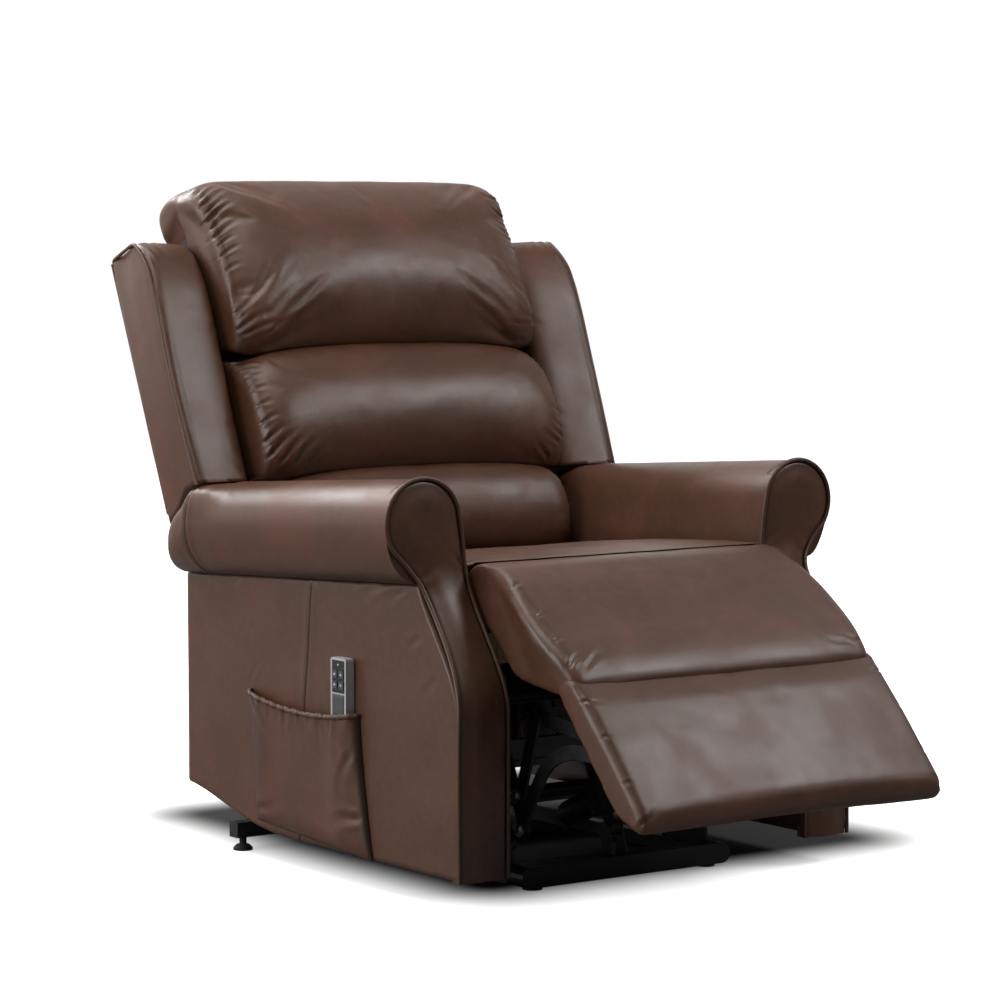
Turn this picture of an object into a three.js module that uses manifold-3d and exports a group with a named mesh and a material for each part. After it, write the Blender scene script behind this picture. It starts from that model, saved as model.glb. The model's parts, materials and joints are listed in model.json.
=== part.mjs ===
// Lift recliner chair: an upholstered wing chair on a steel lift base.
// Millimetres, +Z up, +X to the sitter's left, -Y to the front. The chair is drawn with Y = 0 at the
// front of the arm posts and Z = 0 at the floor, and moved at the end so that the middle of its
// footprint is the origin. It stands half open: the back a little reclined, the footrest half out.
import * as THREE from "three";
import { mergeVertices } from "three/addons/utils/BufferGeometryUtils.js";
import Module from "manifold-3d";

const wasm = await Module();
wasm.setup();

// ---------------------------------------------------------------- driving dimensions

const gap = 0.3; // between pieces that rest on each other
const pinRadius = 5;
const pinPlay = 0.4; // round a pin in its hole
const slackPlay = 2.8; // round the pin of a linkage's last pivot
const linkHalfWidth = 11;
const linkThickness = 5;
const linkStep = 8; // from the plane of one link to the next

// Arms
const seatWidth = 584; // between the arms
const railWidth = 41.6; // of the seat rails beside the arms
const armThickness = 89; // of an arm below its roll
const armHeight = 641;
const armDepth = 787; // front of the posts to the rear of the arms
const armFloorGap = 46;
const armRearLift = 54; // how much the lower edge rises at the rear
const armSlope = 0.0664; // fall of the arm's top towards the rear
const armUnderSlope = 0.0512;
const armRollFall = 158; // from the arm's top down to the roll's underside, at the front
const scrollRadius = 67;
const scrollInset = 13; // of the scroll's centre from the arm's outer face
const frontBoard = 28; // thickness of the arm's front
const frontEase = 6; // rounding of the front's long edges
const postSetBack = 111; // how far the scroll stands behind the foot of the post
const sweepStart = 290;
const sweepHeight = 230;
const sidePanel = 20;
const innerPanel = 16;
const rearPanelThickness = 16;
const innerPanelFloorGap = 96;
const apronHeight = 295;

// Back, in its own frame: Y back from its front face, Z up along it, from the back's pivot
const backPivot = new THREE.Vector2(armDepth - 151, 407);
const backRecline = THREE.MathUtils.degToRad(23.5);
const backSweep = 200; // radius of the wings' lower edge round the pivot
const backSweepGap = 4; // between the rolls and the wings' swept edge
const frameDepth = 70;
const frameFoot = -30;
const frameTop = 640;
const frameLowWidth = seatWidth / 2 - railWidth - 1; // half widths
const frameHighWidth = frameLowWidth + 60;
const frameShoulder = 262; // where the frame gets wider, above the arms
const frameMember = 26;
const rearShellThickness = 12;
const rearShellFoot = 12;
const rearShellWidth = seatWidth / 2 - 9; // half width between the arms
const wingInner = frameHighWidth + 0.6;
const wingOuter = wingInner + 120;
const wingRear = wingInner + 108;
const wingTop = 633;
const lumbarFoot = 50;
const lumbarTop = 203;
const middleTop = 426;
const headTop = 730;
const backCushionWidth = wingInner - 2; // half widths
const lumbarWidth = seatWidth / 2 - 5;

// Seat
const deckTop = 400;
const deckThickness = 15;
const deckFront = 150;
const deckRear = backPivot.x - 46;
const railHeight = 70;
const railRear = backPivot.x + 44;
const seatCushionWidth = seatWidth / 2 - 4;
const seatCushionTop = 500;

// Footrest
const chaisePivot = new THREE.Vector2(85, 458);
const chaiseRound = 53; // radius of the pad's rear end round its pivot
const chaiseWidth = seatWidth / 2 - 7;
const padPivot = new THREE.Vector2(-140, 335);
const padRound = 24;
const padWidth = seatWidth / 2 + 2;
const padLength = 259;
const padAngle = THREE.MathUtils.degToRad(-130.1); // direction of the pad from its pivot, in Y and Z
const boardThickness = 8;
const boardWidth = 262;
const drivePivot = new THREE.Vector2(139.7, 325.9); // of the drive link on the carriage
const elbow = new THREE.Vector2(41.3, 108.9); // drive link to pad link
const crossShare = 0.781; // place of the cross link's pivot along the drive link
const crossTop = new THREE.Vector2(24.2, 280.1); // cross link to upper link
const padPinReach = 90.7; // along the pad from its pivot, of the pad link's pin
const upperPinReach = 67.8;
const padPinDepth = 39.4; // behind the pad's pivot line
const upperPinDepth = 38.2;

// Carriage
const plateInner = 207; // inner face of the carriage's side plates
const plateThickness = 5;
const plateFoot = 120;
const plateTop = 330;
const plateRear = armDepth - 125;
const tubeRadius = 12.5;

// Lift base
const frontTubeFront = 85;
const frontTubeDepth = 45;
const frontTubeFoot = 5;
const frontTubeHeight = 33;
const frontTubeHalf = 204;
const rearTubeHalf = 368;
const rearTubeY = armDepth - 126;
const rearTubeSize = 25;
const rearTubeFoot = 22;
const railSize = 20;
const baseRailOuter = 203;
const baseRailFoot = 8;
const bracketInner = 190;
const bracketThickness = 6;
const frontArmPivot = new THREE.Vector2(145, 68);
const rearArmPivot = new THREE.Vector2(203, 75);
const frontArmTop = new THREE.Vector2(432, 145);
const rearArmTop = new THREE.Vector2(armDepth - 149, 179);
const liftArmHalfWidth = 12;
const footRadius = 16;
const footSpread = 171;
const rearFootSpread = rearTubeHalf - 18;

// Motors, each from its fixed pivot to the pivot that it pushes
const liftMotorFoot = new THREE.Vector2(130, 75);
const liftMotorHead = new THREE.Vector2(250, 330);
const backMotorFoot = new THREE.Vector2(380, 270);
const backMotorHead = new THREE.Vector2(backPivot.x + 64, backPivot.y - 67);
const motorTube = 16; // radii
const motorRod = 10;
const motorEyeWidth = 20;
const motorLugThickness = 5;

// Pocket and handset
const pocketFront = 264;
const pocketRear = 579;
const pocketFoot = 52;
const pocketTop = 268;
const pocketDepth = 16; // clear room inside
const pocketWall = 2.2;
const handsetWidth = 42;
const handsetLength = 168;
const handsetTop = 355;
const handsetFrontY = 280;
const faceThickness = 1.8;
const faceHeight = 50;
const buttonTravel = 1;
const buttonStand = 1.4;

// ---------------------------------------------------------------- materials

const finish = (colour, roughness, metalness = 0) =>
  new THREE.MeshStandardMaterial({ color: colour, roughness, metalness });
const leather = finish(0x3d2119, 0.42);
const blackSteel = finish(0x17191b, 0.45, 0.6);
const timber = finish(0xb08a5c, 0.75);
const blackPlastic = finish(0x141516, 0.4);
const greyPlastic = finish(0x2b2e30, 0.5);
const silverPlastic = finish(0xc4c6c8, 0.35, 0.3);
const rodSteel = finish(0xb9bcc0, 0.25, 0.9);
const rubber = finish(0x101010, 0.85);

// ---------------------------------------------------------------- shapes

const axisX = new THREE.Vector3(1, 0, 0);
const axisY = new THREE.Vector3(0, 1, 0);
const axisZ = new THREE.Vector3(0, 0, 1);
const at = (a, b) => new THREE.Vector2(a, b);

function solidOf(geometry) {
  const bare = geometry.clone();
  bare.deleteAttribute("normal");
  bare.deleteAttribute("uv");
  const merged = mergeVertices(bare, 1e-4);
  const vertProperties = merged.attributes.position.array;
  const triVerts = new Uint32Array(merged.index.array);
  return new wasm.Manifold(new wasm.Mesh({ numProp: 3, vertProperties, triVerts }));
}

function geometryOf(solid) {
  const { vertProperties, triVerts } = solid.getMesh();
  const geometry = new THREE.BufferGeometry();
  geometry.setAttribute("position", new THREE.BufferAttribute(vertProperties, 3));
  geometry.setIndex(new THREE.BufferAttribute(triVerts, 1));
  geometry.computeVertexNormals();
  return geometry;
}

const joined = (...solids) => solids.reduce((whole, solid) => whole.add(solid));
const cut = (solid, ...tools) => tools.reduce((rest, tool) => rest.subtract(tool), solid);

function block(x, y, z) {
  const geometry = new THREE.BoxGeometry(x[1] - x[0], y[1] - y[0], z[1] - z[0]);
  geometry.translate((x[0] + x[1]) / 2, (y[0] + y[1]) / 2, (z[0] + z[1]) / 2);
  return solidOf(geometry);
}

// An outline in the YZ plane, given thickness along X.
function plate(outline, x0, x1) {
  const shape = new THREE.Shape(outline);
  const geometry = new THREE.ExtrudeGeometry(shape, { depth: x1 - x0, bevelEnabled: false });
  geometry.applyMatrix4(new THREE.Matrix4().makeBasis(axisY, axisZ, axisX));
  geometry.translate(x0, 0, 0);
  return solidOf(geometry);
}

// An outline in the XZ plane, given thickness along Y.
function panel(outline, y0, y1) {
  const shape = new THREE.Shape(outline);
  const geometry = new THREE.ExtrudeGeometry(shape, { depth: y1 - y0, bevelEnabled: false });
  geometry.applyMatrix4(new THREE.Matrix4().makeBasis(axisX, axisZ, axisY.clone().negate()));
  geometry.translate(0, y1, 0);
  return solidOf(geometry);
}

// A round bar along X.
function bar(centre, radius, x0, x1, sides = 12) {
  const geometry = new THREE.CylinderGeometry(radius, radius, x1 - x0, sides);
  geometry.rotateZ(Math.PI / 2);
  geometry.translate((x0 + x1) / 2, centre.x, centre.y);
  return solidOf(geometry);
}

// A round bar from one point to another.
function strut(from, to, radius, sides = 16) {
  const along = to.clone().sub(from);
  const geometry = new THREE.CylinderGeometry(radius, radius, along.length(), sides);
  const direction = along.clone().normalize();
  geometry.applyQuaternion(new THREE.Quaternion().setFromUnitVectors(axisY, direction));
  geometry.translate(...from.clone().add(to).multiplyScalar(0.5).toArray());
  return solidOf(geometry);
}

const arc = (centre, radius, fromDegrees, toDegrees, steps) =>
  Array.from({ length: steps + 1 }, (_, i) => {
    const angle = THREE.MathUtils.degToRad(fromDegrees + ((toDegrees - fromDegrees) * i) / steps);
    return at(centre.x + radius * Math.cos(angle), centre.y + radius * Math.sin(angle));
  });

const smooth = (points, steps) => new THREE.SplineCurve(points).getPoints(steps);

// The outline of a bar with round ends along a path.
function barOutline(path, halfWidth) {
  const heading = (i) => {
    const before = path[Math.max(i - 1, 0)];
    const after = path[Math.min(i + 1, path.length - 1)];
    return after.clone().sub(before).angle();
  };
  const beside = (i, turn) => {
    const angle = heading(i) + turn;
    return at(path[i].x + halfWidth * Math.cos(angle), path[i].y + halfWidth * Math.sin(angle));
  };
  const right = path.map((_, i) => beside(i, -Math.PI / 2));
  const left = path.map((_, i) => beside(i, Math.PI / 2));
  const cap = (i, from) => {
    const start = THREE.MathUtils.radToDeg(heading(i) + from);
    return arc(path[i], halfWidth, start, start + 180, 6).slice(1, -1);
  };
  const last = path.length - 1;
  return [...right, ...cap(last, -Math.PI / 2), ...left.reverse(), ...cap(0, Math.PI / 2)];
}

// A skin over rings of points, closed at both ends. The two keys name the plane of the end rings,
// which are filled as the plan is where one is given.
function loft(rings, keys, plan) {
  const size = rings[0].length;
  const positions = rings.flat().flatMap((point) => point.toArray());
  const index = [];
  for (let i = 0; i + 1 < rings.length; i++)
    for (let j = 0; j < size; j++) {
      const a = i * size + j;
      const b = i * size + ((j + 1) % size);
      index.push(a, b, b + size, a, b + size, a + size);
    }
  const flat = (ring) => ring.map((point) => at(point[keys[0]], point[keys[1]]));
  const close = (ring, start, direction) => {
    const outline = plan ?? flat(ring);
    const turn = Math.sign(THREE.ShapeUtils.area(outline)) * direction;
    for (const corners of THREE.ShapeUtils.triangulateShape(outline, [])) {
      const sameTurn = THREE.ShapeUtils.area(corners.map((k) => outline[k])) * turn > 0;
      const [a, b, c] = sameTurn ? corners : [...corners].reverse();
      index.push(start + a, start + b, start + c);
    }
  };
  close(rings[0], 0, -1);
  close(rings.at(-1), size * (rings.length - 1), 1);
  const geometry = new THREE.BufferGeometry();
  geometry.setAttribute("position", new THREE.Float32BufferAttribute(positions, 3));
  geometry.setIndex(index);
  const made = solidOf(geometry);
  if (made.volume() > 0) return made;
  for (let i = 0; i < index.length; i += 3) [index[i], index[i + 1]] = [index[i + 1], index[i]];
  geometry.setIndex(index);
  return solidOf(geometry);
}

// A cushion across the chair. Its side outline swells by the crown at mid width and is rounded off at
// both ends, as far as the outline point is loose (1) or held flat (0), and its ends pull in between
// their corners. Each outline entry is a point and its looseness.
function cushion({ outline, halfWidth, crown, edge, drawIn, stations = 10 }) {
  const points = outline.map(([point]) => point);
  const turn = Math.sign(THREE.ShapeUtils.area(points));
  const outward = points.map((_, i) => {
    const before = points[(i + points.length - 1) % points.length];
    const after = points[(i + 1) % points.length];
    const along = after.clone().sub(before).normalize();
    return at(along.y * turn, -along.x * turn);
  });
  const low = Math.min(...points.map((point) => point.x));
  const high = Math.max(...points.map((point) => point.x));
  const rings = [];
  for (let i = 0; i <= stations; i++) {
    const share = -Math.cos((Math.PI * i) / stations);
    const depth = Math.max(0, (Math.abs(share) * halfWidth - (halfWidth - edge)) / edge);
    const swell = crown * (1 - share * share) - edge * (1 - Math.sqrt(1 - Math.min(1, depth) ** 2));
    rings.push(
      outline.map(([point, loose], j) => {
        const place = (point.x - low) / (high - low);
        const width = halfWidth - drawIn * Math.sin(Math.PI * place);
        const moved = point.clone().addScaledVector(outward[j], swell * loose);
        return new THREE.Vector3(share * width, moved.x, moved.y);
      }),
    );
  }
  return loft(rings, ["y", "z"], points);
}

// A smooth function through [place, value] pairs.
function through(pairs) {
  const last = pairs.length - 1;
  const slope = (i) => {
    const [a, b] = [pairs[Math.max(i - 1, 0)], pairs[Math.min(i + 1, last)]];
    return (b[1] - a[1]) / (b[0] - a[0]);
  };
  return (place) => {
    if (place <= pairs[0][0]) return pairs[0][1];
    if (place >= pairs[last][0]) return pairs[last][1];
    const i = pairs.findLastIndex((pair) => place >= pair[0]);
    const span = pairs[i + 1][0] - pairs[i][0];
    const t = (place - pairs[i][0]) / span;
    const rise = t * t * (3 - 2 * t);
    const leaving = slope(i) * span * t * (1 - t) ** 2;
    const arriving = slope(i + 1) * span * t * t * (t - 1);
    return pairs[i][1] * (1 - rise) + pairs[i + 1][1] * rise + leaving + arriving;
  };
}

function add(parent, name, solid, material) {
  const mesh = new THREE.Mesh(geometryOf(solid), material);
  mesh.name = name;
  parent.add(mesh);
}

const chair = new THREE.Group();
const sides = [
  { name: "left", group: new THREE.Group() },
  { name: "right", group: new THREE.Group() },
];
sides[1].group.scale.x = -1; // the sitter's right side is the mirror image
sides.forEach(({ group }) => chair.add(group));
const addBothSides = (name, solid, material) =>
  sides.forEach((side) => add(side.group, name + "_" + side.name, solid, material));

// ---------------------------------------------------------------- arms

const innerFace = seatWidth / 2;
const outerFace = innerFace + armThickness;
const scrollCentre = at(outerFace - scrollInset, armHeight - scrollRadius);
const { smoothstep } = THREE.MathUtils;
const frontY = (z) => postSetBack * smoothstep(z, sweepStart, sweepStart + sweepHeight);
const rollUnder = (y) => armHeight - armRollFall - (y - postSetBack) * armUnderSlope;
const sweepSteps = Math.floor(sweepHeight / 20);
const sweepLevels = Array.from({ length: sweepSteps + 1 }, (_, i) => sweepStart + 20 * i);
const skirt = (y) => armFloorGap + armRearLift * smoothstep(y, armDepth * 0.55, armDepth);

function armFront() {
  const waist = scrollCentre.y - 170;
  const joinHigh = scrollCentre.y - scrollRadius * 0.6;
  const onScroll = (z) => Math.sqrt(Math.max(0, scrollRadius ** 2 - (z - scrollCentre.y) ** 2));
  const outerBelow = through([
    [armFloorGap, outerFace],
    [sweepStart, outerFace],
    [waist, outerFace - 10],
    [scrollCentre.y - 99, outerFace - 5],
    [scrollCentre.y - 68, outerFace + 14],
    [joinHigh, scrollCentre.x + onScroll(joinHigh)],
  ]);
  const innerJoin = scrollCentre.y + scrollRadius * 0.3;
  const innerBelow = through([
    [armFloorGap, innerFace],
    [scrollCentre.y - 90, innerFace],
    [scrollCentre.y - 25, innerFace + 5],
    [innerJoin, scrollCentre.x - onScroll(innerJoin)],
  ]);
  const outerAt = (z) => (z < joinHigh ? outerBelow(z) : scrollCentre.x + onScroll(z));
  const innerAt = (z) => (z < innerJoin ? innerBelow(z) : scrollCentre.x - onScroll(z));
  const postLevels = sweepLevels.filter((z) => z < joinHigh);
  const heights = [armFloorGap, (armFloorGap + sweepStart) / 2, ...postLevels];
  for (let angle = -36; angle < 88; angle += 9)
    heights.push(scrollCentre.y + scrollRadius * Math.sin(THREE.MathUtils.degToRad(angle)));
  const rings = heights.map((z) => {
    const [inner, outer, y] = [innerAt(z), outerAt(z), frontY(z)];
    const ease = Math.min(frontEase, (outer - inner) / 4);
    return [
      new THREE.Vector3(inner, y + ease, z),
      new THREE.Vector3(inner + ease, y, z),
      new THREE.Vector3(outer - ease, y, z),
      new THREE.Vector3(outer, y + ease, z),
      new THREE.Vector3(outer, y + frontBoard, z),
      new THREE.Vector3(inner, y + frontBoard, z),
    ];
  });
  return loft(rings, ["x", "y"]);
}

// The outline of a side panel between the arm's front and its rear, under the roll.
function sideOutline(rear, footAt) {
  const start = frontBoard + gap;
  const topFront = rollUnder(postSetBack + start) - gap;
  const levels = [footAt(start), ...sweepLevels.filter((z) => z < topFront), topFront];
  const front = levels.map((z) => at(frontY(z) + start, z));
  const foot = [];
  for (let i = 0; i <= 8; i++) {
    const y = rear * (1 - i / 16);
    foot.push(at(y, footAt(y)));
  }
  return [...front, at(rear, rollUnder(rear) - gap), ...foot];
}

const rollRear = armDepth + 16;

function armRoll() {
  const underWings = backPivot.x - 8; // from here back, the wings sweep over the roll
  const topAt = (y) => {
    const slope = armHeight - (y - postSetBack) * armSlope;
    if (y < underWings) return slope;
    const reach = Math.max(0, (backSweep - backSweepGap) ** 2 - (y - backPivot.x) ** 2);
    return Math.min(slope, backPivot.y + Math.sqrt(reach));
  };
  const round = scrollRadius / armRollFall; // share of the roll's height that is its round top
  const overhang = scrollCentre.x + scrollRadius - outerFace;
  const top = arc(at(0, 0), 1, 180, 0, 12);
  const tuckUnder = arc(at(0, 0), 1, 0, -90, 6).slice(1);
  const section = [
    at(innerFace, 0),
    at(innerFace, 0.25),
    at(scrollCentre.x - scrollRadius * 1.03, 0.42),
    ...top.map((p) => at(scrollCentre.x + p.x * scrollRadius, 1 + (p.y - 1) * round)),
    ...tuckUnder.map((p) => at(outerFace + p.x * overhang, (1 + p.y) * (1 - round))),
  ];
  const start = frontBoard + gap;
  const first = postSetBack + start;
  const rounding = [27, 64, 99, 129, 152].map((reach) => backPivot.x + reach);
  const places = [
    first,
    ...[0.25, 0.5, 0.75].map((share) => first + (underWings - first) * share),
    underWings - 16,
    underWings,
    ...rounding,
    rollRear,
  ];
  const tapered = rollRear - 90; // from here back, the roll's outer side draws in
  const rings = places.map((y, i) => {
    const under = rollUnder(Math.min(y, armDepth));
    const height = topAt(y) - under;
    const drawn = 1 - 0.45 * Math.max(0, (y - tapered) / (rollRear - tapered)) ** 2;
    return section.map((p) => {
      const x = p.x > scrollCentre.x ? scrollCentre.x + (p.x - scrollCentre.x) * drawn : p.x;
      const z = under + p.y * height;
      const last = i === places.length - 1;
      const tuck = last ? Math.max(0, 1 - (z - under) / 40) * (rollRear - armDepth - 2) : 0;
      return new THREE.Vector3(x, y - tuck, z);
    });
  });
  return loft(rings, ["x", "z"]);
}

addBothSides("arm_front", armFront(), leather);
addBothSides("arm_roll", armRoll(), leather);
addBothSides(
  "arm_outer_panel",
  joined(
    plate(sideOutline(armDepth, skirt), outerFace - sidePanel, outerFace),
    block(
      [innerFace, outerFace],
      [armDepth - rearPanelThickness, armDepth],
      [skirt(armDepth), rollUnder(armDepth) - gap],
    ),
  ),
  leather,
);
addBothSides(
  "arm_inner_panel",
  plate(
    sideOutline(armDepth - rearPanelThickness - gap, () => innerPanelFloorGap),
    innerFace,
    innerFace + innerPanel,
  ),
  leather,
);

const apron = [skirt(armDepth), skirt(armDepth) + apronHeight];
const apronHalf = innerFace - gap;
add(
  chair,
  "rear_apron",
  block([-apronHalf, apronHalf], [armDepth - rearPanelThickness, armDepth], apron),
  leather,
);

// ---------------------------------------------------------------- seat

const railInner = innerFace - gap - railWidth;
const deckHalf = railInner - gap;
const hingeEar = 18;
const hingeEarThickness = 6;

function seatRail() {
  const ear = barOutline([at(backPivot.x, deckTop - railHeight / 2), backPivot], hingeEar);
  return joined(
    block([railInner, railInner + railWidth], [deckFront, railRear], [deckTop - railHeight, deckTop]),
    plate(ear, railInner, railInner + hingeEarThickness),
    bar(backPivot, pinRadius + 1, railInner - frameMember - 2, railInner + 1),
  );
}

addBothSides("seat_rail", seatRail(), timber);
add(
  chair,
  "seat_deck",
  block([-deckHalf, deckHalf], [deckFront, deckRear], [deckTop - deckThickness, deckTop]),
  timber,
);
const frontRailTop = deckTop - deckThickness - gap;
add(
  chair,
  "seat_front_rail",
  block([-deckHalf, deckHalf], [deckFront + 15, deckFront + 40], [frontRailTop - 40, frontRailTop]),
  timber,
);

function seatCushion() {
  const nest = chaiseRound + gap + 0.4;
  const front = arc(chaisePivot, nest, -40, 84, 10);
  const top = smooth(
    [
      at(chaisePivot.x + 25, chaisePivot.y + nest + 1),
      at(190, seatCushionTop + 6),
      at(330, seatCushionTop - 3),
      at(deckRear - 120, seatCushionTop - 22),
      at(deckRear - 30, seatCushionTop - 36),
      at(deckRear, seatCushionTop - 48),
    ],
    12,
  );
  const rear = [
    at(deckRear + 9, seatCushionTop - 62),
    at(deckRear + 8, deckTop + 20),
    at(deckRear - 2, deckTop + gap),
  ];
  const under = [at(front[0].x + 8, deckTop + gap)];
  return cushion({
    outline: [
      ...front.map((point) => [point, 0]),
      ...top.map((point, i) => [point, Math.min(1, i / 2)]),
      ...rear.map((point, i) => [point, [0.8, 0.4, 0][i]]),
      ...under.map((point) => [point, 0]),
    ],
    halfWidth: seatCushionWidth,
    crown: 9,
    edge: 16,
    drawIn: 5,
  });
}
add(chair, "seat_cushion", seatCushion(), leather);

// ---------------------------------------------------------------- footrest

const padAlong = at(Math.cos(padAngle), Math.sin(padAngle));
const padOut = at(padAlong.y, -padAlong.x); // out of the pad's front face
const onPad = (along, out) =>
  padPivot.clone().addScaledVector(padAlong, along).addScaledVector(padOut, out);

function chaisePad() {
  const nose = arc(padPivot, padRound + gap + 0.4, -12, 84, 6).reverse();
  const rear = arc(chaisePivot, chaiseRound, -115, 90, 14);
  const under = [at(-60, 335), at(0, 348), at(40, 385)];
  const top = smooth(
    [rear.at(-1), at(22, 493), at(-16, 468), at(-78, 414), at(-112, 384), nose[0]],
    12,
  ).slice(1, -1);
  return cushion({
    outline: [
      ...nose.map((point) => [point, 0]),
      ...under.map((point) => [point, 0]),
      ...rear.map((point) => [point, 0]),
      ...top.map((point, i) => [point, Math.min(1, i / 2, (top.length - 1 - i) / 2)]),
    ],
    halfWidth: chaiseWidth,
    crown: 8,
    edge: 16,
    drawIn: 4,
  });
}
add(chair, "chaise_pad", chaisePad(), leather);

const padBack = -17; // of the pad's rear face, from its pivot line
const padFront = 34;

function footrestPad() {
  const crest = arc(at(0, 0), padRound, 225, 90, 9);
  const face = smooth(
    [
      crest.at(-1),
      at(40, padFront - 4),
      at(120, padFront),
      at(200, padFront),
      at(padLength - 12, padFront - 3),
    ],
    10,
  ).slice(1);
  const foot = smooth(
    [face.at(-1), at(padLength, padFront - 12), at(padLength - 12, 6), at(226, -8)],
    6,
  ).slice(1);
  const rear = [at(190, padBack + 2), at(10, padBack)];
  const local = [
    ...crest.map((point) => [point, 0]),
    ...face.map((point, i) => [point, Math.min(1, (i + 1) / 3)]),
    ...foot.map((point) => [point, 0.8]),
    ...rear.map((point) => [point, 0]),
  ];
  return cushion({
    outline: local.map(([point, loose]) => [onPad(point.x, point.y), loose]),
    halfWidth: padWidth,
    crown: 6,
    edge: 14,
    drawIn: 3,
  });
}
add(chair, "footrest_pad", footrestPad(), leather);

// Planes of the links, outwards from the carriage's side plate.
const plateOuter = plateInner + plateThickness;
const plane = (step) => {
  const start = plateOuter + 3 + step * linkStep;
  return [start, start + linkThickness];
};
const upperPlane = plane(0);
const crossPlane = plane(1);
const drivePlane = plane(2);
const padPlane = plane(3);
const bracketPlane = plane(4);
const padPin = onPad(padPinReach, -padPinDepth);
const upperPin = onPad(upperPinReach, -upperPinDepth);
const crossPivot = drivePivot.clone().lerp(elbow, crossShare);

const hole = (centre, [x0, x1], play = pinPlay) => bar(centre, pinRadius + play, x0 - 1, x1 + 1);
const pin = (centre, from, to) => bar(centre, pinRadius, Math.min(from, to), Math.max(from, to));
const washer = (centre, from, to) =>
  bar(centre, pinRadius + 3, Math.min(from, to), Math.max(from, to));

function link(path, [x0, x1], ...holes) {
  return cut(plate(barOutline(path, linkHalfWidth), x0, x1), ...holes);
}

function driveLink() {
  return joined(
    link([drivePivot, elbow], drivePlane, hole(drivePivot, drivePlane)),
    pin(elbow, drivePlane[0], padPlane[1] + 2),
    washer(elbow, drivePlane[0], padPlane[0] - gap),
    pin(crossPivot, drivePlane[1], crossPlane[0] - 1.5),
    washer(crossPivot, drivePlane[1], crossPlane[1] + gap),
  );
}

function crossLink() {
  return joined(
    link([crossPivot, crossTop], crossPlane, hole(crossPivot, crossPlane)),
    pin(crossTop, crossPlane[1], upperPlane[0] - 1.5),
    washer(crossTop, crossPlane[1], upperPlane[1] + gap),
  );
}

// The long lever seen between the post and the pad: it rises steeply, then bends to the pad.
function padLink() {
  const path = smooth([elbow, at(10, 163), at(-32, 219), at(-92, 243), padPin], 16);
  return link(path, padPlane, hole(elbow, padPlane), hole(padPin, padPlane, slackPlay));
}

function upperLink() {
  return link(
    [crossTop, upperPin],
    upperPlane,
    hole(crossTop, upperPlane),
    hole(upperPin, upperPlane, slackPlay),
  );
}

addBothSides("drive_link", driveLink(), blackSteel);
addBothSides("cross_link", crossLink(), blackSteel);
addBothSides("pad_link", padLink(), blackSteel);
addBothSides("upper_link", upperLink(), blackSteel);

function footrestBoard() {
  const back = padBack - gap;
  const flat = [
    onPad(18, back),
    onPad(185, back),
    onPad(185, back - boardThickness),
    onPad(18, back - boardThickness),
  ];
  const ear = (centre, reach, [x0, x1]) =>
    plate(barOutline([onPad(reach, back - linkHalfWidth), centre], linkHalfWidth - 1), x0, x1);
  const lugs = [-1, 1].flatMap((turn) => {
    const flip = ([x0, x1]) => (turn > 0 ? [x0, x1] : [-x1, -x0]);
    return [
      ear(padPin, padPinReach + 8, flip(bracketPlane)),
      bar(padPin, pinRadius, ...flip([padPlane[0] - 1.5, bracketPlane[1]])),
      ear(upperPin, upperPinReach - 8, flip(crossPlane)),
      bar(upperPin, pinRadius, ...flip([upperPlane[0] - 1.5, crossPlane[1]])),
    ];
  });
  return joined(plate(flat, -boardWidth, boardWidth), ...lugs);
}
add(chair, "footrest_board", footrestBoard(), blackSteel);

// ---------------------------------------------------------------- carriage

const crossbarHalf = plateInner - gap;
const frontTubeCentre = at(158, 210);
const rearTubeCentre = at(rearArmTop.x + 2, 230);
const liftBarCentre = liftMotorHead.clone().add(at(0, 34));
const backBarCentre = backMotorFoot.clone().add(at(-32, -8));

function carriagePlate() {
  const outline = [
    at(150, plateFoot + 52),
    at(frontArmTop.x - 60, plateFoot + 6),
    at(frontArmTop.x, plateFoot),
    at(plateRear - 30, plateFoot + 24),
    at(plateRear, plateFoot + 50),
    at(plateRear, plateTop - 60),
    at(plateRear - 40, plateTop),
    at(liftBarCentre.x + 34, plateTop),
    at(liftBarCentre.x + 20, liftBarCentre.y + tubeRadius + 2),
    at(liftBarCentre.x - 20, liftBarCentre.y + tubeRadius + 2),
    at(liftBarCentre.x - 34, plateTop + 14),
    at(drivePivot.x + 4, drivePivot.y + 18),
    at(drivePivot.x - 16, drivePivot.y + 6),
    at(drivePivot.x - 16, plateFoot + 80),
  ];
  const windowStart = backBarCentre.x + tubeRadius + 2;
  const window = [
    at(windowStart, plateFoot + 80),
    at(plateRear - 102, plateFoot + 80),
    at(plateRear - 72, plateTop - 60),
    at(windowStart, plateTop - 60),
  ];
  const inboard = bracketInner - linkThickness - 3;
  return joined(
    cut(plate(outline, plateInner, plateOuter), plate(window, plateInner - 1, plateOuter + 1)),
    block(
      [plateInner, innerFace - 8],
      [drivePivot.x + 60, plateRear - 42],
      [plateTop - 4, plateTop - gap],
    ),
    pin(drivePivot, plateOuter - 1, drivePlane[1] + 1.5),
    washer(drivePivot, plateOuter - 1, drivePlane[0] - gap),
    pin(frontArmTop, plateInner + 1, inboard - 2),
    washer(frontArmTop, plateInner + 1, inboard + linkThickness + gap),
    pin(rearArmTop, plateInner + 1, bracketInner + bracketThickness + 1.5),
    washer(rearArmTop, plateInner + 1, bracketInner + bracketThickness + 3 + linkThickness + gap),
  );
}
addBothSides("carriage_plate", carriagePlate(), blackSteel);

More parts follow.
